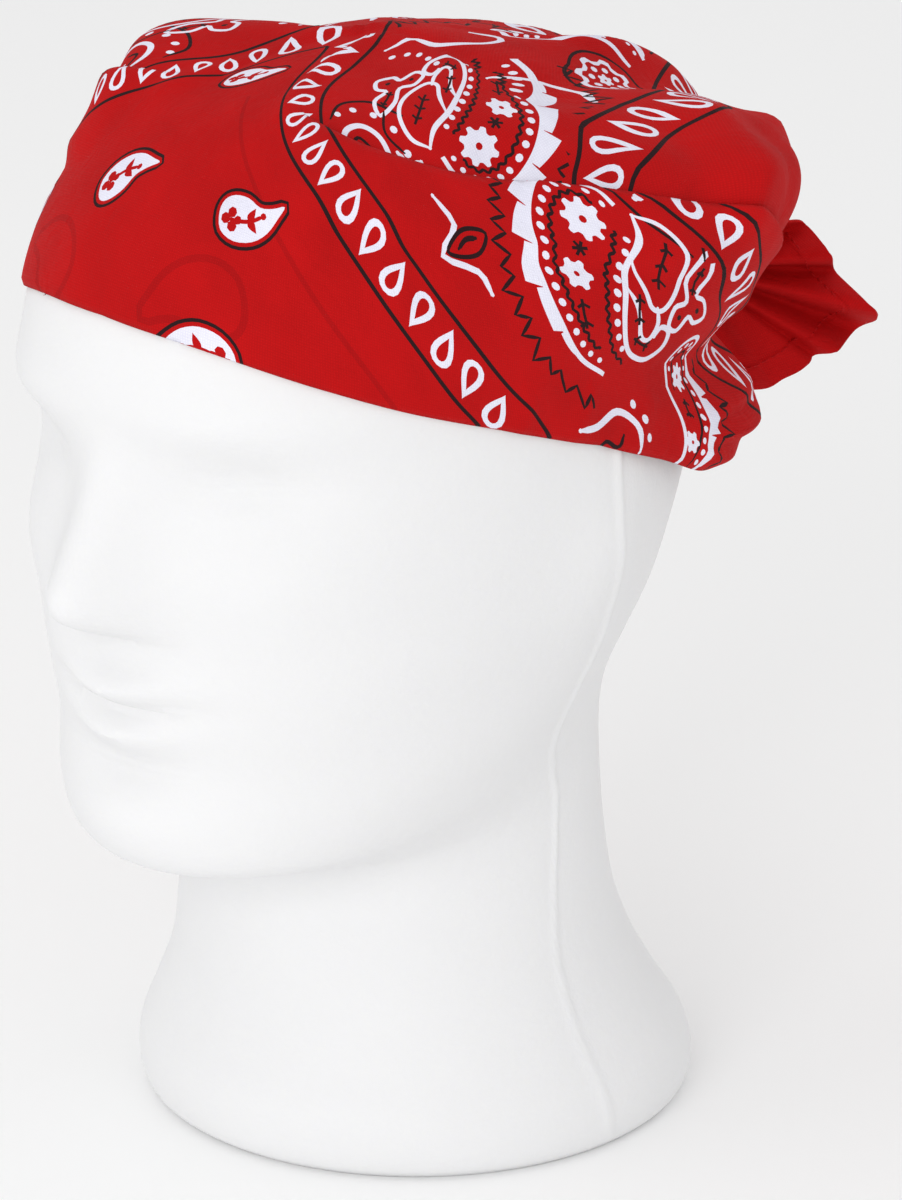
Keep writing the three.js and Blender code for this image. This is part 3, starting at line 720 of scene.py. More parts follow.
def makeHead():
    bpy.ops.object.select_all(action="DESELECT")
    b = headBuild
    bpy.ops.mesh.primitive_uv_sphere_add(segments=b["around"], ring_count=b["rings"], radius=1.0)
    head = bpy.context.object
    head.name = "foamHead"
    places = pointsOf(head)
    up = 1 - np.arccos(np.clip(places[:, 2], -1, 1)) / math.pi
    base = b["baseRings"] / b["rings"]
    level = np.clip((up - base) / (1 - base), 0, 1) * headTop
    angle = np.degrees(np.arctan2(places[:, 0], -places[:, 1]))
    fromLine = np.abs(angle) - b["lineAngle"]
    pull = b["drawIn"] * np.sin(fromLine * math.pi / b["lineWide"])
    closer = np.where(np.abs(fromLine) < b["lineWide"], pull, 0)
    angle = np.sign(angle) * (np.abs(angle) - closer)
    points = headPoint(level, angle)
    ridge = np.abs(angle) - np.interp(points[:, 2], mouldLine["z"], mouldLine["angle"])
    rise = mouldLine["rise"] * bell(ridge * 1.15, mouldLine["wide"]) * smoothStep(level, 0.5, 2)
    points = points + skullNormal(level, angle) * rise[:, None]
    spread = np.clip(up / base, 0, 1)
    points[:, 0] *= spread
    points[:, 1] = b["footY"] + (points[:, 1] - b["footY"]) * spread
    head.data.vertices.foreach_set("co", (points * mm).ravel())
    bpy.ops.object.shade_smooth_by_angle(angle=math.radians(50))
    head.data.materials.append(foamMaterial())
    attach(head, "root")
    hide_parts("head")
    print("head: rings of foam shaped,", len(points), "points")


makeHead()


# The inks, numbered as in clothMaterials. beneath is the print of the layer below, seen through the top.
red, white, black, beneath = range(4)
# The print is drawn in the square's own measure, in millimetres: along is the distance out from its
# middle towards one side, across runs along that side. One side is drawn, and the next mirrors it.
borderPrint = dict(
    lineWidth=1.3,
    dropLength=11.6, dropWidth=7.4, dropWall=1.9, dropPitch=9.2,
    dropShift=0.7, dropsEnd=8,
    bigScale=0.85,
    bigPlaces=[(141.5, -58, 40.0), (138, 32, -93.0)],     # along, across, turn in degrees
    smallPlaces=[(147, -110, 49.0), (124, 98, 205.0)],
    smallScale=0.92,
    edges=(91.0, 162.2),
    gearPlaces=[(150, 86)],
    gearScale=0.95,
    seed=7,
)
# The layer beneath shows through the folded cloth, a little out of line with the top one.
showThrough = dict(along=55.5, stop=44.0, width=1.5, u=[29, -25], v=[12, 8.5], turn=[188, 150],
                   scale=1.25)
commaPlaces = dict(
    u=[34, -14, -9, 31, -64, -88],
    v=[34, 33, 79, -1, 20, -2],
    turn=[8, 50, 10, 168, 200, 186],
    flip=[1, -1, 1, 1, 1, -1],
)


# At each point of a line, which way is square to it.
def sideways(points, closed=False):
    if closed:
        run = np.roll(points, -1, axis=0) - np.roll(points, 1, axis=0)
    else:
        run = np.gradient(points, axis=0)
    run = unitLength(run)
    return np.stack([-run[:, 1], run[:, 0]], -1)


# A drawn line: one small four-sided shape for each step, so that tight turns stay clean.
def stroke(points, width, colour, closed=False):
    points = np.asarray(points, float)
    half = np.broadcast_to(np.asarray(width, float) / 2, (len(points),))[:, None]
    side = sideways(points, closed)
    left, right = points + side * half, points - side * half
    count = len(points) if closed else len(points) - 1
    shapes = []
    for i in range(count):
        j = (i + 1) % len(points)
        quad = np.array([left[i], right[i], right[j], left[j]])
        if abs(signedArea(quad)) > 0.01:
            shapes.append((colour, quad))
    return shapes


# A line that thins to a round point at both ends.
def penLine(points, width, colour, steps=6):
    curve = smoothCurve(points, False, steps)
    along = np.linspace(0, 1, len(curve))
    ends = np.minimum(np.minimum(along, 1 - along) * 9, 1)
    shapes = stroke(curve, width * (0.45 + 0.55 * ends), colour)
    return shapes + dot(curve[0], width * 0.36, colour, 6) + dot(curve[-1], width * 0.36, colour, 6)


def dot(place, radius, colour, sides=9):
    turn = np.arange(sides) * 2 * math.pi / sides
    return [(colour, np.asarray(place) + radius * np.stack([np.cos(turn), np.sin(turn)], -1))]


def bloom(place, radius, petals, colour, notch=0.16, hole=0.2):
    turn = np.arange(petals * 6) * 2 * math.pi / (petals * 6)
    out = radius * (1 + notch * np.tanh(2.2 * np.cos(petals * turn)))
    shape = np.asarray(place) + out[:, None] * np.stack([np.cos(turn), np.sin(turn)], -1)
    return [(colour, shape)] + (dot(place, radius * hole, red) if hole else [])


def grown(shape, amount):
    side = sideways(shape, True)
    return shape - side * amount * (1 if signedArea(shape) > 0 else -1)


def drop(length, width):
    turn = np.arange(18) * 2 * math.pi / 18
    x = np.cos(turn) * length / 2
    y = np.sin(turn) * np.sin(turn / 2) ** 1.5 * width * 0.62
    return np.stack([x, y], -1)


def placed(shape, place, turn, flip=1, scale=1.0):
    shape = np.asarray(shape, float) * scale
    shape = np.stack([shape[:, 0], shape[:, 1] * flip], -1)
    a = math.radians(turn)
    return np.asarray(place) + np.stack([shape[:, 0] * math.cos(a) - shape[:, 1] * math.sin(a),
                                         shape[:, 0] * math.sin(a) + shape[:, 1] * math.cos(a)], -1)


def placedAll(shapes, place, turn, flip=1, scale=1.0):
    return [(colour, placed(shape, place, turn, flip, scale)) for colour, shape in shapes]


def dotRow(curve, away, radius, pitch, start=2.0, stop=2.0):
    line = curve + sideways(curve) * away
    run = runAlong(line)
    shapes = []
    for at in np.arange(start, run[-1] - stop, pitch):
        place = (np.interp(at, run, line[:, 0]), np.interp(at, run, line[:, 1]))
        swell = 0.75 + 0.25 * math.sin(math.pi * at / run[-1])
        shapes += dot(place, radius * swell, white, 9)
    return shapes


def wavyLine(curve, away, wave, pitch, width):
    line = curve + sideways(curve) * away
    run = runAlong(line)
    at = np.arange(0, run[-1], pitch / 5)
    middle = np.stack([np.interp(at, run, line[:, 0]), np.interp(at, run, line[:, 1])], -1)
    swing = wave * np.sin(at * 2 * math.pi / pitch)
    return stroke(middle + sideways(middle) * swing[:, None], width, black)


# Teeth of uneven height along a curve, joined straight.
def sawLine(curve, away, height, pitch, width, rnd):
    run = runAlong(curve)
    side = sideways(curve)
    points = []
    at = 0.0
    up = False
    while at < run[-1]:
        place = np.array([np.interp(at, run, curve[:, 0]), np.interp(at, run, curve[:, 1])])
        out = np.array([np.interp(at, run, side[:, 0]), np.interp(at, run, side[:, 1])])
        tooth = height * rnd.uniform(0.6, 1.25) if up else rnd.uniform(-0.5, 0.5)
        points.append(place + out * (away + tooth))
        at += pitch * (rnd.uniform(0.25, 0.45) if up else rnd.uniform(0.55, 0.8))
        up = not up
    fine = []
    for a, b in zip(points[:-1], points[1:]):
        fine += [a + (b - a) * k / 3 for k in range(3)]
    fine.append(points[-1])
    return stroke(np.array(fine), width, black)


# A solid crescent with a toothed back.
def toothedCrescent(curve, thickness, teeth, colour):
    side = sideways(curve)
    along = np.linspace(0, 1, len(curve))
    body = thickness * np.sin(math.pi * along) ** 0.7
    bite = (along * teeth) % 1.0
    outer = curve + side * (body * (0.5 + 0.5 * bite) + 0.5)[:, None]
    shapes = []
    for i in range(len(curve) - 1):
        tip = outer[i + 1] if bite[i + 1] > bite[i] else outer[i]
        quad = np.array([curve[i], curve[i + 1], tip, outer[i]])
        if abs(signedArea(quad)) > 0.01:
            shapes.append((colour, quad))
    return shapes


# A short stem with hairs on both sides, which lean back.
def twig(start, end, hairs, size, width=1.0):
    start, end = np.asarray(start, float), np.asarray(end, float)
    run = end - start
    ahead = run / np.linalg.norm(run)
    side = np.array([-run[1], run[0]]) / np.linalg.norm(run)
    shapes = stroke(np.array([start, start + run * 0.5 + side * 0.4, end]), width, black)
    for k in range(hairs):
        at = start + run * (0.22 + 0.62 * k / max(hairs - 1, 1))
        reach = size * (1 - 0.12 * k)
        for s in (-1, 1):
            shapes += stroke(np.array([at, at + side * s * reach - ahead * reach * 0.55]), width * 0.9, black)
    return shapes


def starMark(place, size):
    shapes = []
    for turn in (10, 70, 130):
        a = math.radians(turn)
        arm = np.array([math.cos(a), math.sin(a)]) * size
        shapes += stroke(np.array([np.asarray(place) - arm, np.asarray(place) + arm]), size * 0.42, black)
    return shapes


commaBody = smoothCurve([(-7, 0.5), (-5.8, -4), (-1.5, -6.2), (4, -5.6), (8.4, -2.8), (11.6, 1.6),
                         (13.4, 4.6), (9.6, 3.6), (5.6, 3.3), (1.5, 5.2), (-3, 5.4), (-6, 3.8)], True, 3)


# One comma of the field: a black edge, a red gap, a white body and a red sprig.
def commaMotif():
    shapes = [(black, grown(commaBody, 1.9)), (red, grown(commaBody, 1.0)), (white, commaBody)]
    shapes += penLine([(-4.4, -0.9), (-0.2, -1.1), (3.4, -0.5), (6.8, 1.2)], 1.1, red, 3)
    for x, y, radius in ((-4.7, -0.8, 1.5), (-2.9, 0.9, 1.45), (-2.5, -2.6, 1.5), (-0.9, -0.9, 1.2),
                         (6.9, 1.2, 0.95)):
        shapes += dot((x, y), radius, red, 7)
    for place, turn in (((3.4, 1.2), 62), ((3.9, -2.0), -48)):
        shapes.append((red, placed(drop(4.0, 2.6), place, turn)))
    return shapes


# The large paisley. Its flower is at 0, 0, its toothed back is on the left and its tail below.
def bigPaisley(rnd):
    back = smoothCurve([(11, 8.5), (6, 13), (-2, 14.5), (-10, 10.5), (-15.5, 2), (-17.5, -9), (-17, -21),
                        (-12.5, -33), (-4, -42), (7, -46.5)], False, 8)
    shapes = sawLine(back[12:], -8.8, -4.9, 4.5, 1.15, rnd)
    shapes += stroke(back, 1.7, white)
    shapes += toothedCrescent(back[10:66], -7.5, 7, white)
    shapes += dotRow(back, 3.4, 1.25, 4.5)
    shapes += wavyLine(back[4:-4], 6.3, 0.55, 3.4, 1.05)
    shapes += bloom((0, 0.5), 5.7, 8, white) + starMark((-3.5, -9), 2.3)
    shapes += bloom((-5.5, -17), 4.2, 6, white) + twig((-3.5, -33), (-5.5, -24.5), 2, 2.3)
    belly = smoothCurve([(8.5, 0), (5.5, -9), (3, -18), (3.2, -28), (8, -37), (15, -41)], False, 8)
    shapes += wavyLine(belly, 0.0, 0.55, 3.4, 1.05) + dotRow(belly, 3.3, 1.3, 4.6, 1.0, 0.5)
    shapes += penLine([(15.5, 7), (15.2, 0), (10.8, -9), (8.8, -19), (10, -29), (15.8, -36.5), (24, -37.5),
                       (29.5, -32), (28.6, -26.2), (24.4, -25.4), (23.2, -29)], 1.9, white)
    shapes += penLine([(15.5, 7), (22.5, 6), (28, -1), (28, -10), (23.4, -19.5), (18.6, -20.4), (15.6, -15.5),
                       (11.8, -8)], 1.6, white)
    shapes += penLine([(9.6, -17), (13.6, -22), (17.6, -30), (21.4, -30.5), (22.4, -25), (20.6, -20)], 1.6,
                      white)
    shapes += twig((20.5, -14), (22, 0.5), 3, 2.4) + twig((15.4, -27), (13.6, -17.5), 2, 2.0)
    shapes += twig((22.5, -33), (15.5, -31.5), 2, 2.0)
    leaf = [(35, 1.5), (38.6, -5), (36.4, -11.5), (41, -12.2), (44, -17.2), (39.2, -20.6), (34.8, -19.4),
            (31.8, -25), (27.2, -24.2), (27.6, -18), (32.2, -14.6), (30.8, -7)]
    shapes += stroke(smoothCurve(leaf, True, 4), 1.7, white, True) + twig((34.4, -12), (35, -3), 2, 1.6)
    shapes += dot((38.6, -16.4), 1.1, black, 6) + dot((30.6, -20.6), 1.0, black, 6)
    shapes += penLine([(24, 12), (32, 8), (34, -1)], 1.1, black, 5)
    shapes += penLine([(18, 13), (22, 15.5), (26.5, 13)], 2.2, white, 4)
    return shapes


def smallPaisley(rnd):
    back = smoothCurve([(8, 2.5), (5.2, 8.2), (-0.5, 10), (-6.5, 7), (-9, 0), (-7.6, -8), (-5, -16),
                        (-5.8, -25), (-11, -32)])
    front = smoothCurve([(8, 2.5), (9.2, -6), (7.4, -15), (5.4, -24), (1.5, -32), (-5, -38)])
    shapes = stroke(back, 1.5, white) + stroke(front, 1.5, white)
    shapes += toothedCrescent(front[:22], 4.6, 3, white) + toothedCrescent(front[20:], 3.4, 2, white)
    shapes += dotRow(back[:28], 2.6, 0.95, 3.2) + dotRow(front, -2.6, 0.95, 3.4)
    shapes += penLine([(-3.8, -7), (-4.4, 1.5), (0, 5), (4.4, 1), (4.6, -8), (2.4, -18), (-1.4, -28)], 0.95,
                      black, 5)
    shapes += bloom((0, -3), 3.6, 8, white) + twig((-0.4, -14), (-0.2, -9), 2, 1.6, 0.9)
    shapes += bloom((-2, -21), 2.8, 6, white)
    shapes += sawLine(front, 6.2, 3.6, 3.9, 1.0, rnd)
    return shapes


def gearFlower():
    shapes = bloom((0, 0), 9.2, 7, white, 0.12, 0.0) + bloom((0, 0), 7.4, 7, red, 0.12, 0.0)
    for k in range(7):
        a = k * 2 * math.pi / 7
        shapes += dot((math.cos(a) * 5, math.sin(a) * 5), 1.2, white, 7)
    shapes += bloom((0, 0), 2.4, 6, white)
    a = np.linspace(0, 1.5 * math.pi, 26)
    shapes += stroke(np.stack([np.cos(a), np.sin(a)], -1) * 12.6, 1.1, black)
    return shapes


# The small things between the paisleys.
def fillings(rnd):
    shapes = penLine([(106.5, -28.5), (106.2, -36.5), (98.2, -39), (104.2, -47.6), (102.6, -53)], 1.8,
                     white, 3)
    almond = smoothCurve([(100.4, -39.4), (105.2, -38.2), (109.6, -39.6), (113.4, -43.2), (108.8, -45.2),
                          (104, -43.2)], True, 4)
    shapes += stroke(almond, 1.1, black, True)
    shapes += penLine([(103.8, -40.8), (106.8, -40.6), (109.8, -42.2)], 1.2, black, 4)
    shapes += penLine([(97, -92), (103, -96), (112, -98), (116, -105), (112, -111)], 1.9, white, 5)
    shapes += penLine([(98, -103), (103, -101), (106, -105), (110, -104)], 1.2, black, 4)
    for place in ((119, -101), (119.5, -106), (118, -111)):
        shapes += dot(place, 1.2, white)
    spiral = [(96, 12), (96.5, 20), (102, 25), (109, 24), (113, 17.5), (110, 11.5), (104, 11), (102, 15.5)]
    shapes += penLine(spiral, 1.9, white)
    for place in ((94, 27), (99, 31), (106, 31.5), (113, 29), (118, 23)):
        shapes += dot(place, 1.25, white)
    shapes += penLine([(91.5, 24), (95, 33), (104, 37), (115, 34.5)], 1.15, black, 5)
    shapes += penLine([(98, 14), (101, 20), (106, 19)], 1.15, black, 4)
    edge = smoothCurve([(97, 6), (108, -4), (120, -14), (134, -26)], False, 5)
    shapes += sawLine(edge, 1.0, 5.2, 4.6, 1.1, rnd)
    shapes += penLine([(157, -78), (156, -66), (158, -52), (154, -40)], 1.1, black, 4)
    shapes += penLine([(159, 62), (153, 68), (144, 66), (139, 60)], 1.7, white, 5)
    for k in range(5):
        shapes += dot((98 + 4.8 * k, 62 + 2.2 * math.sin(k)), 1.2, white)
    shapes += penLine([(93, 66), (100, 72), (111, 71), (120, 76), (118, 84), (110, 84)], 1.8, white, 5)
    shapes += sawLine(smoothCurve([(92, 78), (99, 90), (112, 98)], False, 5), 0.0, 5.0, 6.0, 1.1, rnd)
    return shapes


# The middle of the corner that lies behind the crown, drawn once across both sides.
def cornerMotif(rnd):
    shapes = placedAll(gearFlower(), (146, 146), 20, 1, 1.2)
    for turn in (45, 225):
        shapes += placedAll([(white, drop(15, 8)), (red, drop(9, 4))], (125, 125), turn)
    for k in range(6):
        near, far = 112 + 3.2 * k, 140 - 1.0 * k
        shapes += dot((near, far), 1.2, white) + dot((far, near), 1.2, white)
    edge = smoothCurve([(98, 122), (106, 112), (112, 106), (122, 98)], False, 5)
    shapes += sawLine(edge, 0.0, 5.5, 6.5, 1.15, rnd)
    return shapes


# From along and across to the square's u and v.
def toSquare(shape):
    along, across, half = shape[:, 0], shape[:, 1], math.sqrt(0.5)
    return np.stack([(along - across) * half, (along + across) * half], -1)


# A straight line at one distance out, from one place across to another.
def ruled(at, start, stop, count, width, colour):
    line = np.stack([np.full(count, float(at)), np.linspace(start, stop, count)], -1)
    return stroke(line, width, colour)


# Two black lines with a row of drops between them, which point out and in by turns.
def dropBand(low, rnd):
    b = borderPrint
    high = low + square["band"]
    shapes = []
    for at in (low, high):
        shapes += ruled(at, -at, at, 140, b["lineWidth"], black)
    outer = drop(b["dropLength"], b["dropWidth"])
    inner = drop(b["dropLength"] - 2.3 * b["dropWall"], b["dropWidth"] - 2.0 * b["dropWall"])
    middle = (low + high) / 2
    reach = middle - b["dropsEnd"]
    count = int(2 * reach / b["dropPitch"])
    for k in range(count + 1):
        across = -reach + 2 * reach * k / count
        turn = (180 if k % 2 else 0) + rnd.uniform(4, 20)
        along = middle + rnd.uniform(-0.4, 0.4)
        lead = b["dropShift"] * math.cos(math.radians(turn)), b["dropShift"] * math.sin(math.radians(turn))
        shapes.append((white, placed(outer, (along, across), turn)))
        shapes.append((red, placed(inner, (along - lead[0], across - lead[1]), turn)))
    return shapes


# All shapes of the print, each with its ink. Where two overlap, the later one is seen.
def printShapes():
    b = borderPrint
    rnd = random.Random(b["seed"])
    side = dropBand(square["field"], rnd) + dropBand(square["outerBand"], rnd)
    side += fillings(rnd)
    border = []
    for along, across, turn in b["bigPlaces"]:
        border += placedAll(bigPaisley(rnd), (along, across), turn - 90, 1, b["bigScale"])
    for along, across, turn in b["smallPlaces"]:
        border += placedAll(smallPaisley(rnd), (along, across), turn - 90, 1, b["smallScale"])
    for place in b["gearPlaces"]:
        border += placedAll(gearFlower(), place, rnd.uniform(0, 50), 1, b["gearScale"])
    inner, outer = b["edges"]
    side += [(colour, shape) for colour, shape in border
             if shape[:, 0].min() > inner and shape[:, 0].max() < outer]
    s = showThrough
    shapes = [(colour, toSquare(shape))
              for colour, shape in ruled(s["along"], -s["along"], s["stop"], 60, s["width"], beneath)]
    for u, v, turn in zip(s["u"], s["v"], s["turn"]):
        shapes += placedAll(stroke(grown(commaBody, 1.4), 1.5, beneath, True), (u, v), turn, 1, s["scale"])
    for colour, shape in side:
        flat = toSquare(shape)
        shapes += [(colour, flat), (colour, flat * (-1, 1))]
    shapes += [(colour, toSquare(shape)) for colour, shape in cornerMotif(rnd)]
    for u, v, turn, flip in zip(*commaPlaces.values()):
        shapes += placedAll(commaMotif(), (u, v), turn, flip)
    return shapes


def makeWrap():
    shapes = printShapes()
    points, faces, inks, flat = [], [], [], []
    start = 0
    for part in ("side", "crown"):
        partFlat, place, triangles, partInks = wrapPoints(part, shapes)
        points.append(place)
        flat.append(partFlat)
        faces += [[i + start for i in t] for t in triangles]
        inks += partInks
        start += len(place)
    allFlat = np.concatenate(flat)
    piece = meshPiece("printedWrap", np.concatenate(points), faces, clothMaterials, allFlat, inks)
    shape = bmesh.new()
    shape.from_mesh(piece.data)
    bmesh.ops.remove_doubles(shape, verts=shape.verts, dist=0.00004)
    bmesh.ops.recalc_face_normals(shape, faces=shape.faces)
    shape.to_mesh(piece.data)
    shape.free()
    giveWall(piece, wrap["thick"])
    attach(piece, "root")
    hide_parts("forehead", "side_left", "side_right", "crown")
    print("wrap:", len(piece.data.polygons), "faces with its wall")


makeWrap()


# The loose ends are gathered in the knot and fan out from it. along is which way they run, seen from
# above. Angles are in degrees up from level, reach is the length to the hem there, and folds hold angle,
# height and width of each pleat. Below the angle in flap, the cloth lies over the rest by so many
# millimetres.
looseEnds = [
    dict(name="looseEndLeft", node="end_left", root=(16.1, 91.0, 204.3), along=(0.683, 0.730),
         angles=[50, 38, 28, 21, 11, -4, -13, -19, -27, -36, -49, -64, -82],
         reach=[10, 17, 26, 32.4, 36.2, 40.2, 50.4, 51.6, 46.4, 41.2, 38.6, 37.4, 22.5],
         folds=[(34, 2.0, 9), (19, -3.0, 5), (9, 3.4, 6), (-3, -3.2, 4.5), (-12, 2.8, 5), (-22, -3.8, 4.5),
                (-30, 2.4, 4), (-48, 1.5, 9), (-60, -1.4, 6), (-78, -3.5, 10)],
         flap=(35.5, 3.6), depth=1.8, curl=3.0, wave=0.8),
    dict(name="looseEndRight", node="end_right", root=(-16.0, 90.5, 202.8), along=(-0.707, 0.707),
         angles=[14, 0, -12, -24, -36, -46, -58, -70, -84],
         reach=[15, 28.5, 32.5, 38.2, 45.8, 50.4, 42, 34.2, 20.5],
         folds=[(8, 2.0, 8), (-6, -3.2, 7), (-20, 3.4, 8), (-33, -3.8, 6.5), (-46, 2.4, 7), (-58, -3.6, 7),
                (-72, 3.0, 9)],
         flap=(30, 2.2), depth=1.8, curl=-2.5, wave=0.8),
]
# Rows run out from the knot to the hem, closer together near the hem, and columns run round the fan.
fanGrid = dict(start=0.12, hemStart=0.7, rows=26, hemRows=34, columns=130)
cornerCloth = dict(
    topZ=201.5, tipZ=146.0, halfAngle=13.0, tipShare=0.07, off=0.8, pleat=1.3,
    rows=90, columns=44, stitchRows=slice(18, 86), stitchColumns=dict(cornerStitchesA=5, cornerStitchesB=38),
)
# The knot, as a lump with one turn of cloth across it. The depths are shares of its size.
knotForm = dict(
    centre=(0, 91.5, 205), size=(19, 9.5, 12.5), squareness=0.82,
    lean=0.35, band=0.34, bandRise=0.15, grooveDepth=0.13,
    pleats=9, pleatDepth=0.045, bandPleats=19, bandPleatDepth=0.03,
)
hemSeam = dict(width=7.5, rise=0.4, stitch=2.1, gap=0.9, thread=0.36, sunk=0.1, proud=0.22)


def gridPiece(name, points, flat):
    rows, columns = points.shape[:2]
    faces = [(j * columns + i, j * columns + i + 1, (j + 1) * columns + i + 1, (j + 1) * columns + i)
             for j in range(rows - 1) for i in range(columns - 1)]
    piece = meshPiece(name, points.reshape(-1, 3) * mm, faces, [clothRed], flat.reshape(-1, 2))
    giveWall(piece, wrap["thick"])
    return piece


# The hem is turned in, so it stands a little higher than the cloth inside it.
def hemStep(toEdge):
    return hemSeam["rise"] * (1 - smoothStep(toEdge, hemSeam["width"] - 0.35, hemSeam["width"] + 0.35))


# Stitches along a line of points: short threads, each thicker in its middle.
def stitchRow(name, line, normals):
    run = runAlong(line)

    def valueAt(values, length):
        return np.array([np.interp(length, run, values[:, k]) for k in range(3)])

    points, faces = [], []
    at = 1.0
    while at + hemSeam["stitch"] < run[-1]:
        a, b, up = valueAt(line, at), valueAt(line, at + hemSeam["stitch"]), valueAt(normals, at)
        side = np.cross(b - a, up)
        side *= hemSeam["thread"] / 2 / max(np.linalg.norm(side), 1e-9)
        low, high = -hemSeam["sunk"] * up, hemSeam["proud"] * up
        start = len(points)
        for end, tall in ((a, 0.0), ((a + b) / 2, 1.0), (b, 0.0)):
            top = (high - low) * (0.4 + 0.6 * tall)
            points += [end - side + low, end + side + low, end + side + low + top, end - side + low + top]
        for k in (0, 4):
            for i in range(4):
                j = (i + 1) % 4
                faces.append((start + k + i, start + k + j, start + k + 4 + j, start + k + 4 + i))
        faces += [(start + 3, start + 2, start + 1, start), (start + 8, start + 9, start + 10, start + 11)]
        at += hemSeam["stitch"] + hemSeam["gap"]
    flat = np.zeros((len(points), 2))
    piece = meshPiece(name, np.array(points) * mm, faces, [threadRed], flat)
    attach(piece, "root")
    return piece


# The normals of a grid of points, on the side that outward points to.
def surfaceNormals(points, outward):
    normals = unitLength(np.cross(np.gradient(points, axis=0), np.gradient(points, axis=1)))
    return -normals if np.mean(normals @ outward) < 0 else normals


def makeLooseEnd(cloth):
    g = fanGrid
    away = np.concatenate([np.linspace(g["start"], g["hemStart"], g["rows"]),
                           np.linspace(g["hemStart"] + 0.02, 1.0, g["hemRows"])])[:, None]
    angle = np.linspace(cloth["angles"][0], cloth["angles"][-1], g["columns"])
    place = np.interp(-angle, -np.array(cloth["angles"]), np.arange(len(cloth["angles"])))
    reach = smoothColumn(cloth["reach"], place)[None, :]
    fold = sum(high * bell(angle - at, wide) for at, high, wide in cloth["folds"])[None, :]
    curl = cloth["curl"] * away ** 2 * np.cos(np.radians(angle * 1.6))[None, :]
    out = cloth["depth"] * fold * (0.2 + 0.8 * away) + curl
    flapAngle, flapRise = cloth["flap"]
    flap = (flapRise * smoothStep(-angle, flapAngle, flapAngle + 2.2))[None, :]
    out = out + flap * (0.35 + 0.65 * away)
    out = out + cloth["wave"] * away ** 3 * np.sin(angle * 0.42)[None, :] + hemStep((1 - away) * reach)
    along = np.array([*cloth["along"], 0.0])
    outward = np.array([along[1], -along[0], 0.0]) * (-1 if along[0] < 0 else 1)
    level = (away * reach * np.cos(np.radians(angle))[None, :])[..., None]
    rise = (away * reach * np.sin(np.radians(angle))[None, :])[..., None]
    points = np.array(cloth["root"]) + along * level + np.array([0, 0, 1.0]) * rise + outward * out[..., None]
    spread = runAlong(points[-1]) / reach.mean()
    turn = spread - spread.mean()
    flat = np.stack([away * reach * np.sin(turn)[None, :], away * reach * np.cos(turn)[None, :]], -1)
    piece = gridPiece(cloth["name"], points, flat)
    normals = surfaceNormals(points, outward)
    row = int(np.argmin(np.abs((1 - away[:, 0]) * reach.mean() - hemSeam["width"] + 1.2)))
    stitches = stitchRow(cloth["name"] + "Stitches", points[row, 6:-6], normals[row, 6:-6])
    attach(piece, "root")
    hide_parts(cloth["node"])


def makeCorner():
    c = cornerCloth
    up = np.linspace(0, 1, c["rows"])[:, None]
    across = np.linspace(-1, 1, c["columns"])[None, :]
    half = c["halfAngle"] * (c["tipShare"] + (1 - c["tipShare"]) * up)
    angle = 180 + half * across
    height = c["tipZ"] + (c["topZ"] - c["tipZ"]) * up + 0 * across
    level = levelAt(height, angle)
    bare = headPoint(level, angle)
    width = half * 0.9
    waves = np.cos(across * 9 + 2 * up) * 0.6 + np.cos(across * 4.2) * 0.7
    pleat = c["pleat"] * smoothStep(up, 0.1, 0.9) * waves
    hem = hemStep((1 - np.abs(across)) * width * 1.3)
    off = standOff(angle, bare[..., 2]) + c["off"] + np.maximum(pleat, -0.6) + hem
    points = bare + skullNormal(level, angle) * off[..., None]
    run = np.array([runAlong(row) for row in points])
    rise = runAlong(points[:, c["columns"] // 2])
    flat = np.stack([run - run[:, -1:] / 2, rise[:, None] + 0 * run], -1)
    piece = gridPiece("hangingCorner", points, flat)
    normals = surfaceNormals(points, np.array([0, 1.0, 0]))
    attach(piece, "root")
    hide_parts("corner")
    rows = c["stitchRows"]
    stitches = [stitchRow(name, points[rows, column], normals[rows, column])
                for name, column in c["stitchColumns"].items()]


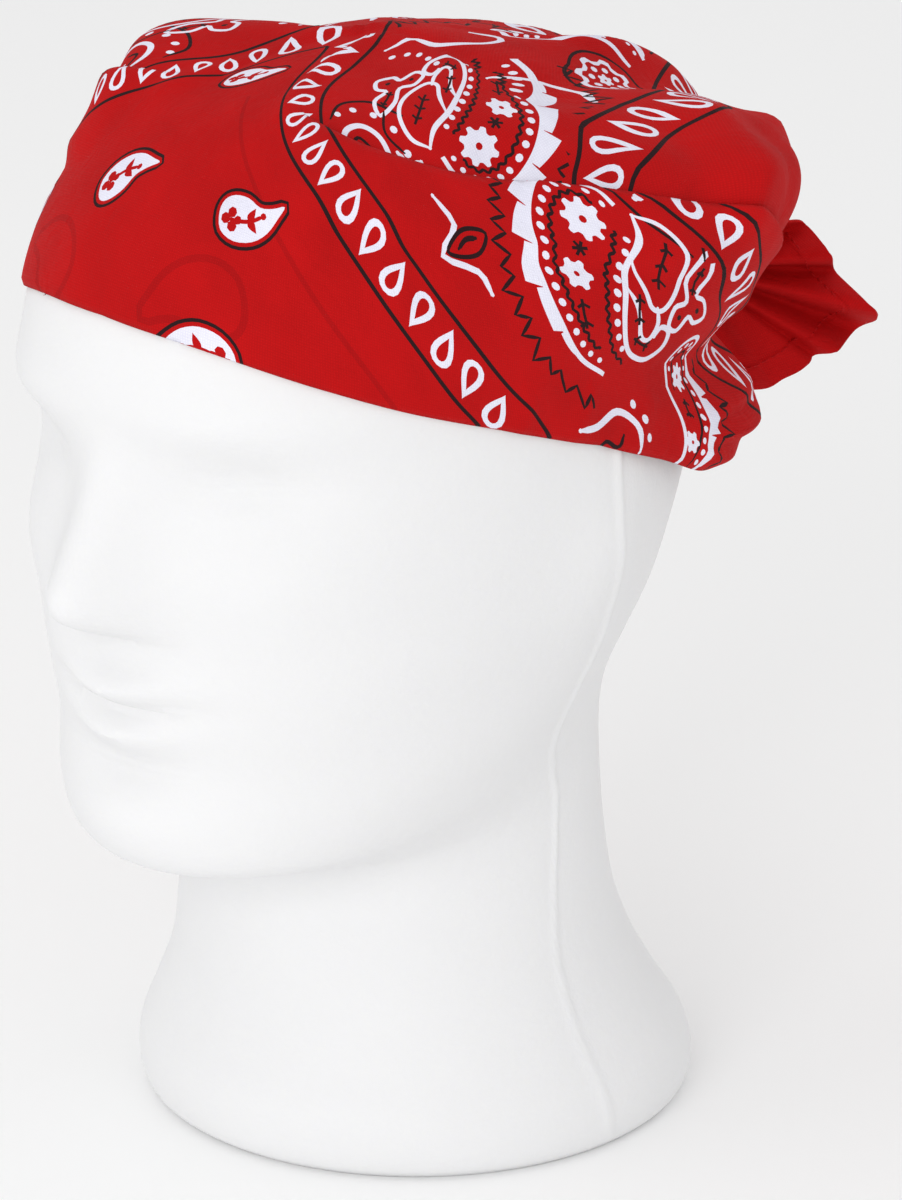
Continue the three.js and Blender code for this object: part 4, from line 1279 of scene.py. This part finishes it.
def makeKnot():
    k = knotForm
    bpy.ops.object.select_all(action="DESELECT")
    bpy.ops.mesh.primitive_uv_sphere_add(segments=128, ring_count=80, radius=1.0)
    knot = bpy.context.object
    knot.name = "knotOfCloth"
    places = pointsOf(knot)[:, [2, 0, 1]]
    turn = np.arctan2(places[:, 2], places[:, 1])
    shape = np.sign(places) * np.abs(places) ** k["squareness"]
    across = places[:, 0] - k["lean"] * places[:, 2]
    band = smoothStep(-np.abs(across), -k["band"] - 0.05, -k["band"] + 0.05)
    groove = k["grooveDepth"] * bell(np.abs(across) - k["band"] - 0.08, 0.07)
    swell = 1 + k["bandRise"] * band - groove
    pleatTurn = k["pleats"] * turn + 3 * places[:, 0] + 1.3 * np.sin(2 * turn)
    pleat = k["pleatDepth"] * np.sin(pleatTurn) * (1 - band)
    bandPleat = k["bandPleatDepth"] * np.sin(across * k["bandPleats"] + 0.8 * np.sin(turn)) * band
    shape[:, 1:] *= (swell + pleat + bandPleat)[:, None]
    points = np.array(k["centre"]) + shape * np.array(k["size"])
    knot.data.vertices.foreach_set("co", (points * mm).ravel())
    knot.data.uv_layers[0].name = "cloth"
    bpy.ops.object.shade_smooth()
    knot.data.materials.append(clothRed)
    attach(knot, "root")
    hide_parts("knot")
    print("knot shaped,", len(points), "points")


for looseEnd in looseEnds:
    makeLooseEnd(looseEnd)
makeCorner()
makeKnot()


lamps = dict(
    name=["key", "fill", "top", "back"],
    at=[(0.75, -1.9, 0.8), (2.1, -0.6, 0.9), (-0.6, -0.8, 2.1), (0.8, 1.7, 1.2)],
    size=[1.1, 1.5, 1.4, 1.0],
    power=[12.5, 0.6, 3, 1.0],
)
studio = dict(floorSize=30.0, paper=(0.98, 0.98, 0.98), worldLight=0.8, aim=(0, 0, 0.18))


def addStage():
    bpy.ops.object.select_all(action="DESELECT")
    bpy.ops.mesh.primitive_plane_add(size=studio["floorSize"], location=(0, 0, 0))
    floor = bpy.context.object
    floor.name = "floor"
    paper, tree, shader = newMaterial("pale paper")
    setInputs(tree, shader, {"Base Color": (*studio["paper"], 1), "Roughness": 0.9})
    floor.data.materials.append(paper)
    world = bpy.data.worlds.new("studio")
    world.use_nodes = True
    setInputs(world.node_tree, world.node_tree.nodes["Background"],
              {"Color": (1.0, 1.0, 1.0, 1), "Strength": studio["worldLight"]})
    bpy.context.scene.world = world
    bpy.context.scene.view_settings.view_transform = "Standard"
    for name, at, size, power in zip(*lamps.values()):
        bpy.ops.object.light_add(type="AREA", location=at)
        lamp = bpy.context.object
        lamp.name = "lamp_" + name
        lamp.data.size = size
        lamp.data.energy = power
        lamp.rotation_euler = (Vector(studio["aim"]) - Vector(at)).to_track_quat("-Z", "Y").to_euler()
    print("floor and lamps placed")


addStage()
